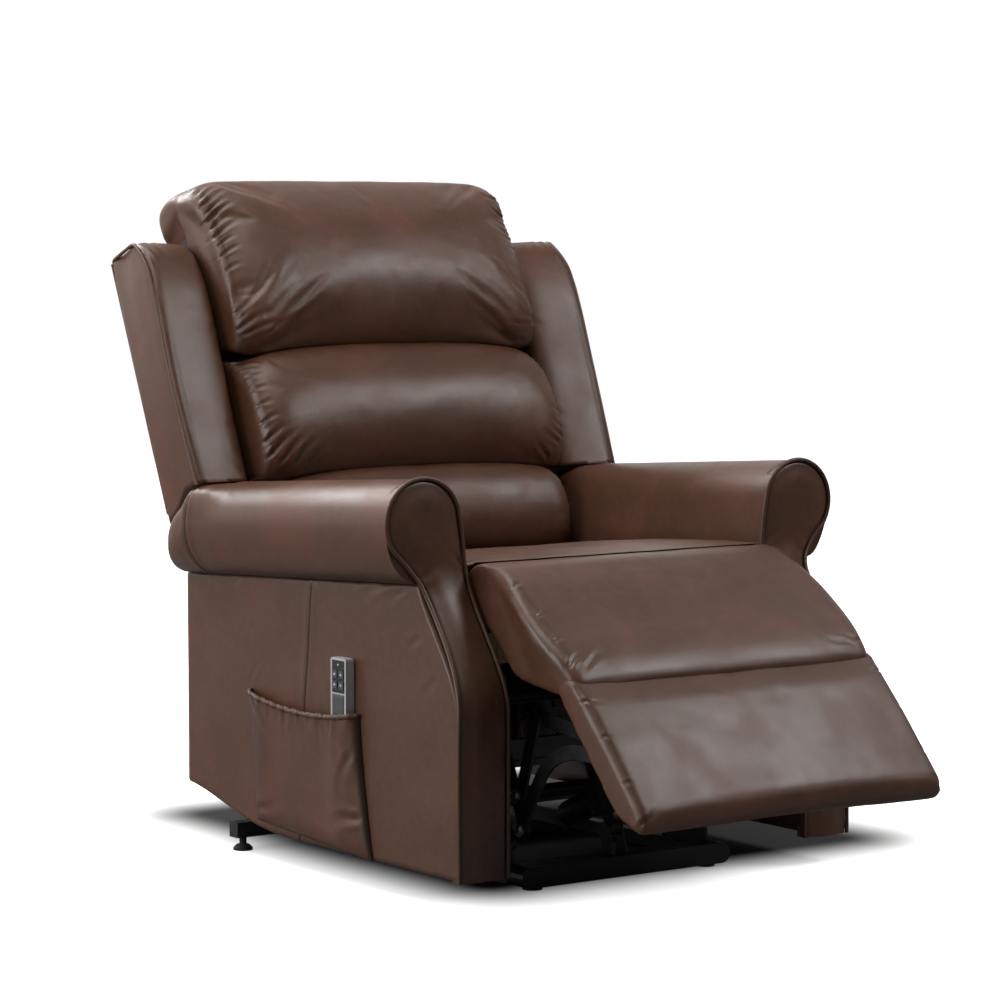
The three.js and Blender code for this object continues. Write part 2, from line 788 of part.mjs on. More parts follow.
// A pair of ears from a bar to a pivot, with the pivot's pin between them.
function clevis(from, pivot) {
  const inner = motorEyeWidth / 2 + 1;
  const outline = barOutline([from, pivot], pinRadius + 6);
  return joined(
    plate(outline, inner, inner + motorLugThickness),
    plate(outline, -inner - motorLugThickness, -inner),
    bar(pivot, pinRadius, -inner - 1, inner + 1),
  );
}

add(
  chair,
  "carriage_front_tube",
  joined(
    block([-crossbarHalf, crossbarHalf], [150, 167], [frontTubeCentre.y - 16, frontTubeCentre.y + 16]),
    block([-crossbarHalf, crossbarHalf], [146, 156], [frontTubeCentre.y - 26, frontTubeCentre.y - 15.9]),
  ),
  blackSteel,
);
add(
  chair,
  "carriage_rear_tube",
  block(
    [-crossbarHalf, crossbarHalf],
    [rearTubeCentre.x - tubeRadius, rearTubeCentre.x + tubeRadius],
    [rearTubeCentre.y - tubeRadius, rearTubeCentre.y + tubeRadius],
  ),
  blackSteel,
);
add(
  chair,
  "lift_motor_crossbar",
  joined(
    bar(liftBarCentre, tubeRadius, -crossbarHalf, crossbarHalf, 16),
    clevis(liftBarCentre, liftMotorHead),
  ),
  blackSteel,
);
add(
  chair,
  "back_motor_crossbar",
  joined(
    bar(backBarCentre, tubeRadius, -crossbarHalf, crossbarHalf, 16),
    clevis(backBarCentre, backMotorFoot),
  ),
  blackSteel,
);

// ---------------------------------------------------------------- motors

const lift3 = (point, x = 0) => new THREE.Vector3(x, point.x, point.y);

// A motor's fixed half: an eye at its foot, the gear case, the tube that guides the rod, bored from
// boreStart, and the motor hanging from the case.
function motorBody(foot, head, tubeEnd, boreStart) {
  const along = head.clone().sub(foot).normalize();
  const across = at(along.y, -along.x);
  const place = (reach, aside = 0) =>
    foot.clone().addScaledVector(along, reach).addScaledVector(across, aside);
  return cut(
    joined(
      bar(foot, 12, -motorEyeWidth / 2, motorEyeWidth / 2, 16),
      strut(lift3(place(4)), lift3(place(40)), 9),
      strut(lift3(place(26)), lift3(place(78)), 24, 20),
      strut(lift3(place(70)), lift3(place(tubeEnd)), motorTube),
      strut(lift3(place(52)), lift3(place(52, 96)), 22, 20),
    ),
    bar(foot, pinRadius + pinPlay, -motorEyeWidth, motorEyeWidth),
    strut(lift3(place(boreStart)), lift3(place(tubeEnd + 5)), motorRod + 0.6),
  );
}

function motorShaft(foot, head, start) {
  const along = head.clone().sub(foot).normalize();
  const reach = foot.distanceTo(head);
  const place = (distance) => foot.clone().addScaledVector(along, distance);
  return cut(
    joined(
      strut(lift3(place(start)), lift3(place(reach - 8)), motorRod),
      bar(head, pinRadius + 8, -motorEyeWidth / 2, motorEyeWidth / 2, 16),
    ),
    bar(head, pinRadius + 3.6, -motorEyeWidth, motorEyeWidth),
  );
}

add(chair, "lift_motor_body", motorBody(liftMotorFoot, liftMotorHead, 252, 96), blackPlastic);
add(chair, "lift_motor_rod", motorShaft(liftMotorFoot, liftMotorHead, 100), rodSteel);
add(chair, "back_motor_body", motorBody(backMotorFoot, backMotorHead, 264, 98), blackPlastic);
add(chair, "back_motor_rod", motorShaft(backMotorFoot, backMotorHead, 140), rodSteel);

// ---------------------------------------------------------------- lift base

const frontTubeTop = frontTubeFoot + frontTubeHeight;
const frontTubeRear = frontTubeFront + frontTubeDepth;
const rearTubeFront = rearTubeY - rearTubeSize / 2;

function baseFrontTube() {
  const end = frontTubeHalf - frontTubeHeight / 2;
  const corner = frontTubeHeight / 2 - 2;
  const middle = frontTubeFoot + frontTubeHeight / 2;
  const outline = [
    ...arc(at(end + 2, middle), corner + 2, -90, 90, 8),
    ...arc(at(-end - 2, middle), corner + 2, 90, 270, 8),
  ];
  const foot = (x) =>
    strut(new THREE.Vector3(x, 107, 0), new THREE.Vector3(x, 107, frontTubeFoot + 1), footRadius);
  return joined(
    panel(outline, frontTubeFront, frontTubeRear),
    foot(footSpread),
    foot(-footSpread),
    clevis(at(frontTubeRear - 14, frontTubeTop - 8), liftMotorFoot),
  );
}
add(chair, "base_front_tube", baseFrontTube(), blackSteel);
add(
  chair,
  "base_rear_tube",
  block(
    [-rearTubeHalf, rearTubeHalf],
    [rearTubeFront, rearTubeFront + rearTubeSize],
    [rearTubeFoot, rearTubeFoot + rearTubeSize],
  ),
  blackSteel,
);

// A side rail of the base with the bracket that carries the pivots of the lift arms.
const innerArmPlane = [bracketInner - 3 - linkThickness, bracketInner - 3];
const outerArmStart = bracketInner + bracketThickness + 3;
const outerArmPlane = [outerArmStart, outerArmStart + linkThickness];

function baseRail() {
  const railTop = baseRailFoot + railSize;
  const bracket = [
    at(frontTubeRear + gap, railTop - 4),
    at(rearArmPivot.x + 40, railTop - 4),
    ...arc(rearArmPivot, 14, -10, 95, 5),
    ...arc(frontArmPivot, 14, 85, 180, 5),
  ];
  return joined(
    block(
      [baseRailOuter - railSize, baseRailOuter],
      [frontTubeRear + gap, rearTubeFront - gap],
      [baseRailFoot, railTop],
    ),
    plate(bracket, bracketInner, bracketInner + bracketThickness),
    pin(frontArmPivot, bracketInner + 1, innerArmPlane[0] - 2),
    washer(frontArmPivot, bracketInner + 1, innerArmPlane[1] + gap),
    pin(rearArmPivot, bracketInner + bracketThickness - 1, outerArmPlane[1] + 2),
    washer(rearArmPivot, bracketInner + bracketThickness - 1, outerArmPlane[0] - gap),
  );
}
addBothSides("base_rail", baseRail(), blackSteel);

function rearFoot() {
  const profile = [
    at(0, 0),
    at(footRadius, 0),
    at(footRadius, 4),
    at(footRadius - 5, 9),
    at(6, 11),
    at(6, rearTubeFoot - gap),
    at(0, rearTubeFoot - gap),
  ];
  const geometry = new THREE.LatheGeometry(profile, 20);
  geometry.rotateX(Math.PI / 2);
  geometry.translate(rearFootSpread, rearTubeY, 0);
  return solidOf(geometry);
}
addBothSides("rear_foot", rearFoot(), rubber);

const supplyHalf = 85;
add(
  chair,
  "power_supply",
  block([-supplyHalf, supplyHalf], [rearTubeFront - gap - 72, rearTubeFront - gap], [14, 62]),
  greyPlastic,
);

const liftArm = (path, armPlane) => plate(barOutline(path, liftArmHalfWidth), ...armPlane);

function liftFrontArms() {
  const torqueTube = frontArmPivot.clone().lerp(frontArmTop, 0.55);
  const one = ([x0, x1]) =>
    cut(
      liftArm([frontArmPivot, frontArmTop], [x0, x1]),
      bar(frontArmPivot, pinRadius + pinPlay, x0 - 1, x1 + 1),
      bar(frontArmTop, pinRadius + pinPlay, x0 - 1, x1 + 1),
    );
  const [x0, x1] = innerArmPlane;
  return joined(one([x0, x1]), one([-x1, -x0]), bar(torqueTube, tubeRadius, -x1, x1, 16));
}
add(chair, "lift_front_arms", liftFrontArms(), blackSteel);

function liftRearArm() {
  const path = smooth(
    [
      rearArmPivot,
      at(330, 94),
      at(frontArmTop.x, 117),
      at(rearArmTop.x - 93, rearArmTop.y - 33),
      rearArmTop,
    ],
    14,
  );
  return cut(
    liftArm(path, outerArmPlane),
    hole(rearArmPivot, outerArmPlane),
    hole(rearArmTop, outerArmPlane, slackPlay),
  );
}
addBothSides("lift_rear_arm", liftRearArm(), blackSteel);

// ---------------------------------------------------------------- back

const back = new THREE.Group();
back.position.set(0, backPivot.x, backPivot.y);
back.rotation.x = -backRecline;
chair.add(back);
const wings = [
  { name: "left", group: new THREE.Group() },
  { name: "right", group: new THREE.Group() },
];
wings[1].group.scale.x = -1;
wings.forEach(({ group }) => back.add(group));

const frameRear = frameDepth - gap;

function backFrame() {
  const half = [
    at(frameLowWidth, frameFoot),
    at(frameLowWidth, frameShoulder - 30),
    at(frameHighWidth, frameShoulder),
    at(frameHighWidth, frameTop),
  ];
  const outline = [...half, ...half.map((p) => at(-p.x, p.y)).reverse()];
  const opening = (low, high, halfWidth) =>
    block([-halfWidth, halfWidth], [-1, frameDepth + 1], [low, high]);
  const reach = backMotorHead.clone().sub(backPivot);
  const motorPin = reach.clone().rotateAround(at(0, 0), backRecline);
  const holeAt = (x0, x1) => bar(at(0, 0), pinRadius + 1 + pinPlay, x0, x1);
  return joined(
    cut(
      panel(outline, 0, frameRear),
      opening(36, frameShoulder - 40, frameLowWidth - frameMember),
      opening(frameShoulder + 30, frameTop - 46, frameHighWidth - frameMember),
      block([-frameLowWidth + frameMember, frameLowWidth - frameMember], [-1, 18], [frameFoot - 1, 37]),
      holeAt(frameLowWidth - frameMember - 3, frameLowWidth + 1),
      holeAt(-frameLowWidth - 1, -frameLowWidth + frameMember + 3),
    ),
    clevis(at(frameRear - 14, -6), motorPin),
  );
}
add(back, "back_frame", backFrame(), timber);

// Between the wings, behind the frame.
function rearShell() {
  const wide = wingInner - gap;
  const half = [
    at(rearShellWidth, rearShellFoot),
    at(rearShellWidth, backSweep - 12),
    at(wide, backSweep + 12),
    at(wide, wingTop),
  ];
  const outline = [...half, ...half.map((p) => at(-p.x, p.y)).reverse()];
  return panel(outline, frameDepth, frameDepth + rearShellThickness);
}
add(back, "rear_shell", rearShell(), leather);

function wing() {
  const rear = frameDepth + rearShellThickness;
  const frontAt = through([
    [190, -48],
    [370, -52],
    [523, -59],
    [wingTop - 30, -46],
    [wingTop, -30],
  ]);
  const topAt = (y) => wingTop - 10 * THREE.MathUtils.smoothstep(-y, -rear, 60);
  const steps = 14;
  const rings = [];
  for (let i = 0; i <= steps; i++) {
    const share = i / steps;
    const height = 190 + (wingTop - 190) * share;
    const front = frontAt(height);
    const nearTop = Math.max(0, (share - 0.86) / 0.14);
    const drawn = 1 - 0.16 * (1 - Math.sqrt(1 - nearTop ** 2));
    const across = (x) => wingInner + (x - wingInner) * drawn;
    const section = [
      at(wingInner, rear - 12),
      at(wingRear, rear),
      at(wingRear + 6, rear - 40),
      at(wingRear + 9, rear - 68),
      at(wingOuter, front + 34),
      at(wingOuter - 4, front + 12),
      at(wingOuter - 22, front + 1),
      at(wingInner + 46, front),
      at(wingInner + 14, front + 8),
      at(wingInner, front + 24),
      at(wingInner, rear - 74),
      at(wingInner, rear - 42),
    ];
    rings.push(
      section.map((p) => {
        const foot = Math.sqrt(backSweep ** 2 - p.y ** 2);
        return new THREE.Vector3(across(p.x), p.y, foot + (topAt(p.y) - foot) * share);
      }),
    );
  }
  return loft(rings, ["x", "y"]);
}
wings.forEach((side) => add(side.group, "wing_" + side.name, wing(), leather));

// A back cushion from its lower to its upper seam, both at the depth of the creases.
function backCushion({ low, high, face, halfWidth, crown, edge, drawIn }) {
  const rest = -gap;
  const belly = smooth(face, 14);
  return cushion({
    outline: [
      [at(rest, low), 0],
      ...belly.map((point, i) => [point, Math.min(1, i / 3, (belly.length - 1 - i) / 3)]),
      [at(rest, high), 0],
    ],
    halfWidth,
    crown,
    edge,
    drawIn,
  });
}

const lumbarSeam = lumbarTop - gap;
add(
  back,
  "lumbar_cushion",
  backCushion({
    low: lumbarFoot,
    high: lumbarSeam,
    face: [at(-46, lumbarFoot), at(-78, 76), at(-89, 125), at(-84, 172), at(-64, lumbarSeam)],
    halfWidth: lumbarWidth,
    crown: 7,
    edge: 22,
    drawIn: 4,
  }),
  leather,
);
const middleSeam = middleTop - gap;
add(
  back,
  "middle_cushion",
  backCushion({
    low: lumbarTop,
    high: middleSeam,
    face: [
      at(-62, lumbarTop),
      at(-90, 238),
      at(-101, 300),
      at(-97, 366),
      at(-78, 408),
      at(-54, middleSeam),
    ],
    halfWidth: backCushionWidth,
    crown: 7,
    edge: 24,
    drawIn: 5,
  }),
  leather,
);

// The head cushion goes over the top of the frame and hangs a little way down behind it.
function headCushion() {
  const face = smooth(
    [
      at(-54, middleTop),
      at(-92, 456),
      at(-104, 505),
      at(-98, 580),
      at(-84, headTop - 75),
      at(-66, headTop - 24),
      at(-38, headTop - 6),
      at(0, headTop),
    ],
    18,
  );
  const over = smooth(
    [
      at(0, headTop),
      at(40, headTop),
      at(66, headTop - 10),
      at(75, headTop - 36),
      at(68, wingTop + 8),
    ],
    8,
  );
  return cushion({
    outline: [
      [at(-gap, middleTop), 0],
      ...face.map((point, i) => [point, Math.min(1, i / 3)]),
      ...over.slice(1).map((point) => [point, 0.5]),
      [at(frameRear, frameTop + gap), 0],
      [at(-gap, frameTop + gap), 0],
    ],
    halfWidth: backCushionWidth,
    crown: 7,
    edge: 26,
    drawIn: 5,
  });
}
add(back, "head_cushion", headCushion(), leather);

// ------------------------------------------------ pocket and handset, on the right side

const right = sides[1].group;
const pocketInner = outerFace + gap + pocketWall;
const pocketOuter = pocketInner + pocketDepth;

function sidePocket() {
  const low = at(pocketRear - 19, pocketFoot + 16);
  const outline = (inset) => [
    at(pocketFront - 30 + inset, pocketFoot + inset),
    at(low.x - inset, low.y + inset),
    at(pocketRear - inset, pocketTop + 7 + (inset ? 20 : 0)),
    at(336, pocketTop - 5 + (inset ? 20 : 0)),
    at(pocketFront + inset, pocketTop + (inset ? 20 : 0)),
  ];
  return cut(
    plate(outline(0), outerFace + gap, pocketOuter + pocketWall),
    plate(outline(5), pocketInner, pocketOuter),
  );
}
add(right, "side_pocket", sidePocket(), leather);

const handsetInner = pocketInner + gap;
const handsetOuter = pocketOuter - gap;
const faceInner = handsetOuter - faceThickness;
const handsetY = [handsetFrontY, handsetFrontY + handsetWidth];
const faceMargin = 4;
const faceTop = handsetTop - faceMargin;
const buttonWidth = 13;
const buttonHeight = 12;
const buttonRows = [faceTop - 21, faceTop - 38];
const buttonColumns = [handsetFrontY + 12.5, handsetFrontY + handsetWidth - 12.5];
const buttonBox = (y, z, grow, x) =>
  block(
    x,
    [y - buttonWidth / 2 - grow, y + buttonWidth / 2 + grow],
    [z - buttonHeight / 2 - grow, z + buttonHeight / 2 + grow],
  );
const buttons = [
  { name: "button_back_up", y: buttonColumns[0], z: buttonRows[0] },
  { name: "button_back_down", y: buttonColumns[0], z: buttonRows[1] },
  { name: "button_feet_up", y: buttonColumns[1], z: buttonRows[0] },
  { name: "button_feet_down", y: buttonColumns[1], z: buttonRows[1] },
];

function handsetBody() {
  const corner = 5;
  const [y0, y1] = handsetY;
  const z0 = handsetTop - handsetLength;
  const outline = [
    ...arc(at(y0 + corner, z0 + corner), corner, 180, 270, 4),
    ...arc(at(y1 - corner, z0 + corner), corner, 270, 360, 4),
    ...arc(at(y1 - corner, handsetTop - corner), corner, 0, 90, 4),
    ...arc(at(y0 + corner, handsetTop - corner), corner, 90, 180, 4),
  ];
  const recess = block(
    [faceInner - gap, handsetOuter + 1],
    [y0 + faceMargin - gap, y1 - faceMargin + gap],
    [faceTop - faceHeight - gap, faceTop + gap],
  );
  const wells = buttons.map(({ y, z }) => buttonBox(y, z, gap, [faceInner - 4, faceInner]));
  return cut(plate(outline, handsetInner, handsetOuter), recess, ...wells);
}
add(right, "handset_body", handsetBody(), silverPlastic);

add(
  right,
  "handset_face",
  cut(
    block(
      [faceInner, handsetOuter],
      [handsetY[0] + faceMargin, handsetY[1] - faceMargin],
      [faceTop - faceHeight, faceTop],
    ),
    ...buttons.map(({ y, z }) => buttonBox(y, z, gap, [faceInner - 1, handsetOuter + 1])),
  ),
  blackPlastic,
);
buttons.forEach(({ name, y, z }) => {
  const depth = [faceInner - 4 + buttonTravel + gap, handsetOuter + buttonStand];
  add(right, name, buttonBox(y, z, 0, depth), greyPlastic);
});

// ---------------------------------------------------------------- origin

chair.updateMatrixWorld(true);
const bounds = new THREE.Box3().setFromObject(chair, true);
const middle = bounds.getCenter(new THREE.Vector3());
chair.position.set(-middle.x, -middle.y, -bounds.min.z);

export default chair;
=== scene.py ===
import json
import math

import bmesh
import bpy
import numpy as np
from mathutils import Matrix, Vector


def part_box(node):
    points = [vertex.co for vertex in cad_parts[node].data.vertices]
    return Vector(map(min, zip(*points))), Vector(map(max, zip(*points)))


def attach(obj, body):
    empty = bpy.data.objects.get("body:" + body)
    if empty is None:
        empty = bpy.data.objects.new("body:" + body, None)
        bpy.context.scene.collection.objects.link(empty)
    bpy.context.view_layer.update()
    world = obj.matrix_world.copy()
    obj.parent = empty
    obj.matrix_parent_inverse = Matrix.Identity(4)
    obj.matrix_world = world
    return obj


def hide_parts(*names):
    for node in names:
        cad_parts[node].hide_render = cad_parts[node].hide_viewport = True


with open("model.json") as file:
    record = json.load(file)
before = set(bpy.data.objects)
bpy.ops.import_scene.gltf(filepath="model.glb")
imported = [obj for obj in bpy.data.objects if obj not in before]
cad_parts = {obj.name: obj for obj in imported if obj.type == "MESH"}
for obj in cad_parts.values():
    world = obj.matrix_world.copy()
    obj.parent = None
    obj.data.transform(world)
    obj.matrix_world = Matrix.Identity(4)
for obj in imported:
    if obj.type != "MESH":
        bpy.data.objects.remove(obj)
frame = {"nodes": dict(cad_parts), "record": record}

# The looks of a lift recliner chair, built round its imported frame. Drawing units are millimetres, with
# y = 0 at the foot of the arm posts and z = 0 at the floor, as in the chair's own drawing.

bl_info = {
    "name": "Lift recliner chair",
    "version": (1, 0, 0),
    "blender": (4, 5, 0),
    "location": "View3D > Sidebar > Chair",
    "description": "Upholsters and finishes a lift recliner chair on its frame",
    "category": "Add Mesh",
}

ORIGIN_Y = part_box("arm_front_right")[0].y * 1000  # of the drawing's y = 0, in the frame
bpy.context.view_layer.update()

# ------------------------------------------------------------------ curves and meshes


def smoothstep(low, high, value):
    t = np.clip((np.asarray(value, float) - low) / (high - low), 0, 1)
    return t * t * (3 - 2 * t)


def through(pairs):
    """A smooth function through (place, value) pairs."""
    place, value = np.array(pairs, float).T
    before, after = np.r_[0, np.arange(len(place) - 1)], np.r_[np.arange(1, len(place)), len(place) - 1]
    slope = (value[after] - value[before]) / (place[after] - place[before])

    def at(x):
        x = np.clip(np.asarray(x, float), place[0], place[-1])
        i = np.clip(np.searchsorted(place, x, side="right") - 1, 0, len(place) - 2)
        span = place[i + 1] - place[i]
        t = (x - place[i]) / span
        rise = t * t * (3 - 2 * t)
        ease = slope[i] * span * t * (1 - t) ** 2 + slope[i + 1] * span * t * t * (t - 1)
        return value[i] * (1 - rise) + value[i + 1] * rise + ease

    return at


def spaced(points, count):
    """The same line with that many points, evenly spaced."""
    p = np.asarray(points, float)
    run = np.r_[0, np.cumsum(np.linalg.norm(np.diff(p, axis=0), axis=1))]
    at = np.linspace(0, run[-1], count)
    return np.stack([np.interp(at, run, p[:, k]) for k in range(p.shape[1])], 1)


def curve(points, count):
    """A smooth line through points, with evenly spaced points of its own."""
    p = np.asarray(points, float)
    run = np.r_[0, np.cumsum(np.linalg.norm(np.diff(p, axis=0), axis=1))]
    fine = np.linspace(0, run[-1], 40 * len(p))
    return spaced(np.stack([through(list(zip(run, p[:, k])))(fine) for k in range(p.shape[1])], 1), count)


def arc(centre, radius, start, end, count):
    a = np.radians(np.linspace(start, end, count))
    return np.stack([centre[0] + radius * np.cos(a), centre[1] + radius * np.sin(a)], 1)


def to_frame(points):
    return (np.asarray(points, float).reshape(-1, 3) + (0, ORIGIN_Y, 0)) / 1000


def new_object(name, points, faces, material, painted_shade=None, mirrored=False, smooth=True):
    """A mesh object from points in drawing units. Its painted shade, given per point, darkens the leather's colour
    where it is under 1, standing in for shade in creases, seams, corners and undersides.
    """
    p = to_frame(points)
    if mirrored:
        p = p * (-1, 1, 1)
        faces = [tuple(reversed(f)) for f in faces]
    mesh = bpy.data.meshes.new(name)
    mesh.from_pydata([tuple(v) for v in p], [], [tuple(int(i) for i in f) for f in faces])
    mesh.update()
    mesh.polygons.foreach_set("use_smooth", [smooth] * len(mesh.polygons))
    # Painted shade per point, which the leather's material reads.
    shade = mesh.attributes.new("painted_shade", "FLOAT", "POINT")
    values = np.ones(len(p)) if painted_shade is None else np.asarray(painted_shade, float).ravel()
    shade.data.foreach_set("value", values.astype(np.float32))
    made = bpy.data.objects.new(name, mesh)
    bpy.context.scene.collection.objects.link(made)
    made.data.materials.append(material)
    return made


def face_out(made):
    """Turns the mesh's faces outwards."""
    work = bmesh.new()
    work.from_mesh(made.data)
    bmesh.ops.recalc_face_normals(work, faces=work.faces)
    work.to_mesh(made.data)
    work.free()
    return made


def loft(rings):
    """Points and faces of a skin over rings of points. Its caps have points of their own, so their edges are crisp."""
    rings = np.asarray(rings, float)
    n, m = rings.shape[:2]
    faces = []
    for i in range(n - 1):
        for j in range(m):
            a, b = i * m + j, i * m + (j + 1) % m
            faces.append((a, b, b + m, a + m))
    faces.append(tuple(range(n * m + m - 1, n * m - 1, -1)))
    faces.append(tuple(range(n * m + m, n * m + 2 * m)))
    return np.vstack([rings.reshape(-1, 3), rings[0], rings[-1]]), faces


def tube_object(name, path, radius, look, mirrored=False, sides=8):
    """A round tube along a path; radius may change along it."""
    p = np.asarray(path, float)
    radius = np.broadcast_to(radius, (len(p),))
    tangent = np.gradient(p, axis=0)
    tangent /= np.linalg.norm(tangent, axis=1)[:, None]
    side = np.cross(tangent[0], (0.31, 0.17, 0.93))
    side /= np.linalg.norm(side)
    a = np.linspace(0, 2 * math.pi, sides, endpoint=False)[:, None]
    rings = []
    for at, ahead, size in zip(p, tangent, radius):
        side = side - ahead * (side @ ahead)
        side /= np.linalg.norm(side)
        rings.append(at + size * (np.cos(a) * side + np.sin(a) * np.cross(ahead, side)))
    return face_out(new_object(name, *loft(rings), look, None, mirrored))


def combine(*parts):
    """Several (points, faces) as one."""
    points, faces, start = [], [], 0
    for p, f in parts:
        points.append(p)
        faces += [tuple(i + start for i in face) for face in f]
        start += len(p)
    return np.vstack(points), faces


def value_noise(x, y, seed):
    """Smooth noise from -1 to 1 on a grid of unit cells."""
    table = np.random.default_rng(seed).uniform(-1, 1, (64, 64))
    x, y = np.asarray(x, float), np.asarray(y, float)
    i, j = np.floor(x).astype(int), np.floor(y).astype(int)
    u, v = x - i, y - j
    u, v = u * u * (3 - 2 * u), v * v * (3 - 2 * v)
    at = lambda a, b: table[a % 64, b % 64]
    low = at(i, j) * (1 - u) + at(i + 1, j) * u
    high = at(i, j + 1) * (1 - u) + at(i + 1, j + 1) * u
    return low * (1 - v) + high * v


def fold_depth(a, b, folds):
    """How far sewn or pulled folds lift or sink a surface whose points have the coordinates a and b.
    A fold is (start, end, half width, depth): deepest at its start and gone at its end."""
    lift = np.zeros(np.broadcast(a, b).shape)
    for (a0, b0), (a1, b1), width, depth in folds:
        along = np.array([a1 - a0, b1 - b0], float)
        length = np.linalg.norm(along)
        along /= length
        s = ((a - a0) * along[0] + (b - b0) * along[1]) / length
        bend = 0.06 * length * np.sin(math.pi * np.clip(s, 0, 1))
        d = (-(a - a0) * along[1] + (b - b0) * along[0] - bend) / (width * (0.7 + 0.6 * np.clip(s, 0, 1)))
        strength = np.clip(1 - s, 0, 1) ** 1.3 * smoothstep(-0.25, 0.05, s)
        lift += depth * strength * (0.55 * np.exp(-((np.abs(d) - 1.7) ** 2)) - np.exp(-d * d))
    return lift


# ------------------------------------------------------------------ materials


def feed(tree, made, values):
    """Sets a node's inputs to numbers and colours, or links them to other nodes' outputs."""
    for key, value in dict(values).items():
        if isinstance(value, bpy.types.NodeSocket):
            tree.links.new(value, made.inputs[key])
        else:
            made.inputs[key].default_value = value
    return made


def node(tree, kind, values=(), **settings):
    made = tree.nodes.new(kind)
    for key, value in settings.items():
        setattr(made, key, value)
    return feed(tree, made, values)


def calc(tree, operation, a, b, **settings):
    return node(tree, "ShaderNodeMath", {0: a, 1: b}, operation=operation, **settings).outputs[0]


def mixed(tree, factor, a, b):
    return node(tree, "ShaderNodeMix", {0: factor, 6: a, 7: b}, data_type="RGBA").outputs[2]


def dimmed(tree, colour, factor):
    return node(tree, "ShaderNodeVectorMath", {0: colour, "Scale": factor}, operation="SCALE").outputs["Vector"]


def ranged(tree, value, low, high, to_low=0.0, to_high=1.0, kind="LINEAR"):
    """A value stretched from one range to another."""
    values = {"Value": value, "From Min": low, "From Max": high, "To Min": to_low, "To Max": to_high}
    return node(tree, "ShaderNodeMapRange", values, interpolation_type=kind).outputs["Result"]


def bumped(tree, height, strength, distance):
    values = {"Height": height, "Strength": strength, "Distance": distance}
    return node(tree, "ShaderNodeBump", values).outputs["Normal"]


def on_piece(tree):
    return node(tree, "ShaderNodeTexCoord").outputs["Object"]


def noise(tree, scale, detail, roughness, distortion=0.0):
    values = {"Scale": scale, "Detail": detail, "Roughness": roughness, "Distortion": distortion}
    return node(tree, "ShaderNodeTexNoise", {"Vector": on_piece(tree), **values}).outputs["Fac"]


def mottled(tree, given):
    """Aged dye of leather: cloudy patches of a second, redder colour, and fine specks."""
    broad = noise(tree, given["Scale"], 3.0, 0.55, 0.4)
    fine = noise(tree, calc(tree, "MULTIPLY", given["Scale"], 9.0), 4.0, 0.6)
    patches = ranged(tree, broad, 0.42, 0.68, kind="SMOOTHSTEP")
    share = calc(tree, "MULTIPLY", patches, given["Amount"], use_clamp=True)
    dye = mixed(tree, share, given["Base"], given["Second"])
    return {"Color": dimmed(tree, dye, ranged(tree, fine, 0.3, 0.7, 0.86, 1.12)), "Patches": patches}


def grained(tree, given):
    """Leather grain: small rounded cells between creases, and pores."""
    scale = calc(tree, "DIVIDE", 1000.0, given["Cell size"])
    values = {"Vector": on_piece(tree), "Scale": scale, "Randomness": 0.9}
    cells = node(tree, "ShaderNodeTexVoronoi", values, feature="DISTANCE_TO_EDGE").outputs["Distance"]
    pores = calc(tree, "MULTIPLY", noise(tree, calc(tree, "MULTIPLY", scale, 0.45), 3.0, 0.6), 0.9)
    return {"Height": calc(tree, "ADD", ranged(tree, cells, 0.0, 0.22, kind="SMOOTHSTEP"), pores)}


def uneven(tree, given):
    """Scuffed or dusty patches on painted and moulded surfaces."""
    fine = calc(tree, "MULTIPLY", given["Scale"], 12.0)
    return {"Patches": noise(tree, given["Scale"], 3.0, 0.6), "Fine": noise(tree, fine, 2.0, 0.5)}


# Each shared effect: how it is made, its inputs with their defaults, and its outputs.
EFFECTS = {
    "Mottled dye": (
        mottled,
        {"Base": (0.05, 0.02, 0.01, 1), "Second": (0.1, 0.03, 0.02, 1), "Scale": 6.0, "Amount": 0.5},
        ("Color", "Patches"),
    ),
    "Leather grain": (grained, {"Cell size": 1.4}, ("Height",)),
    "Uneven finish": (uneven, {"Scale": 60.0}, ("Patches", "Fine")),
}


def effect(tree, name, values):
    """Outputs of a node of a shared effect, whose group is made the first time."""
    inner = bpy.data.node_groups.get(name)
    if inner is None:
        build, inputs, outputs = EFFECTS[name]
        inner = bpy.data.node_groups.new(name, "ShaderNodeTree")
        sockets = inner.interface
        for label, default in inputs.items():
            kind = "NodeSocketColor" if isinstance(default, tuple) else "NodeSocketFloat"
            sockets.new_socket(label, in_out="INPUT", socket_type=kind).default_value = default
        for label in outputs:
            kind = "NodeSocketColor" if label == "Color" else "NodeSocketFloat"
            sockets.new_socket(label, in_out="OUTPUT", socket_type=kind)
        given, result = inner.nodes.new("NodeGroupInput"), inner.nodes.new("NodeGroupOutput")
        feed(inner, result, build(inner, given.outputs))
    return node(tree, "ShaderNodeGroup", values, node_tree=inner).outputs


def material(name, build):
    """A material by its name. The first time, build gives its shader's inputs."""
    made = bpy.data.materials.get(name)
    if made is None:
        made = bpy.data.materials.new(name)
        made.use_nodes = True
        feed(made.node_tree, made.node_tree.nodes["Principled BSDF"], build(made.node_tree))
    return made


def leather(name="Leather", shade=1.0, roughness=0.36):
    look = bpy.context.scene.chair_leather

    def build(tree):
        base, second = ((*(c * shade for c in dye), 1) for dye in (look.base_colour, look.second_colour))
        dye = effect(tree, "Mottled dye", {"Base": base, "Second": second, "Scale": look.patch_scale})
        # Painted shade: the per-point shade darkens the dye's colour in creases, seams, corners and undersides.
        painted_shade = node(tree, "ShaderNodeAttribute", attribute_name="painted_shade").outputs["Fac"]
        grain = effect(tree, "Leather grain", {"Cell size": look.grain})
        return {
            "Base Color": dimmed(tree, dye["Color"], painted_shade),
            "Roughness": ranged(tree, dye["Patches"], 0.0, 1.0, roughness, roughness + 0.1),
            "Normal": bumped(tree, grain["Height"], 0.22, 0.00025),
        }

    return material(name, build)


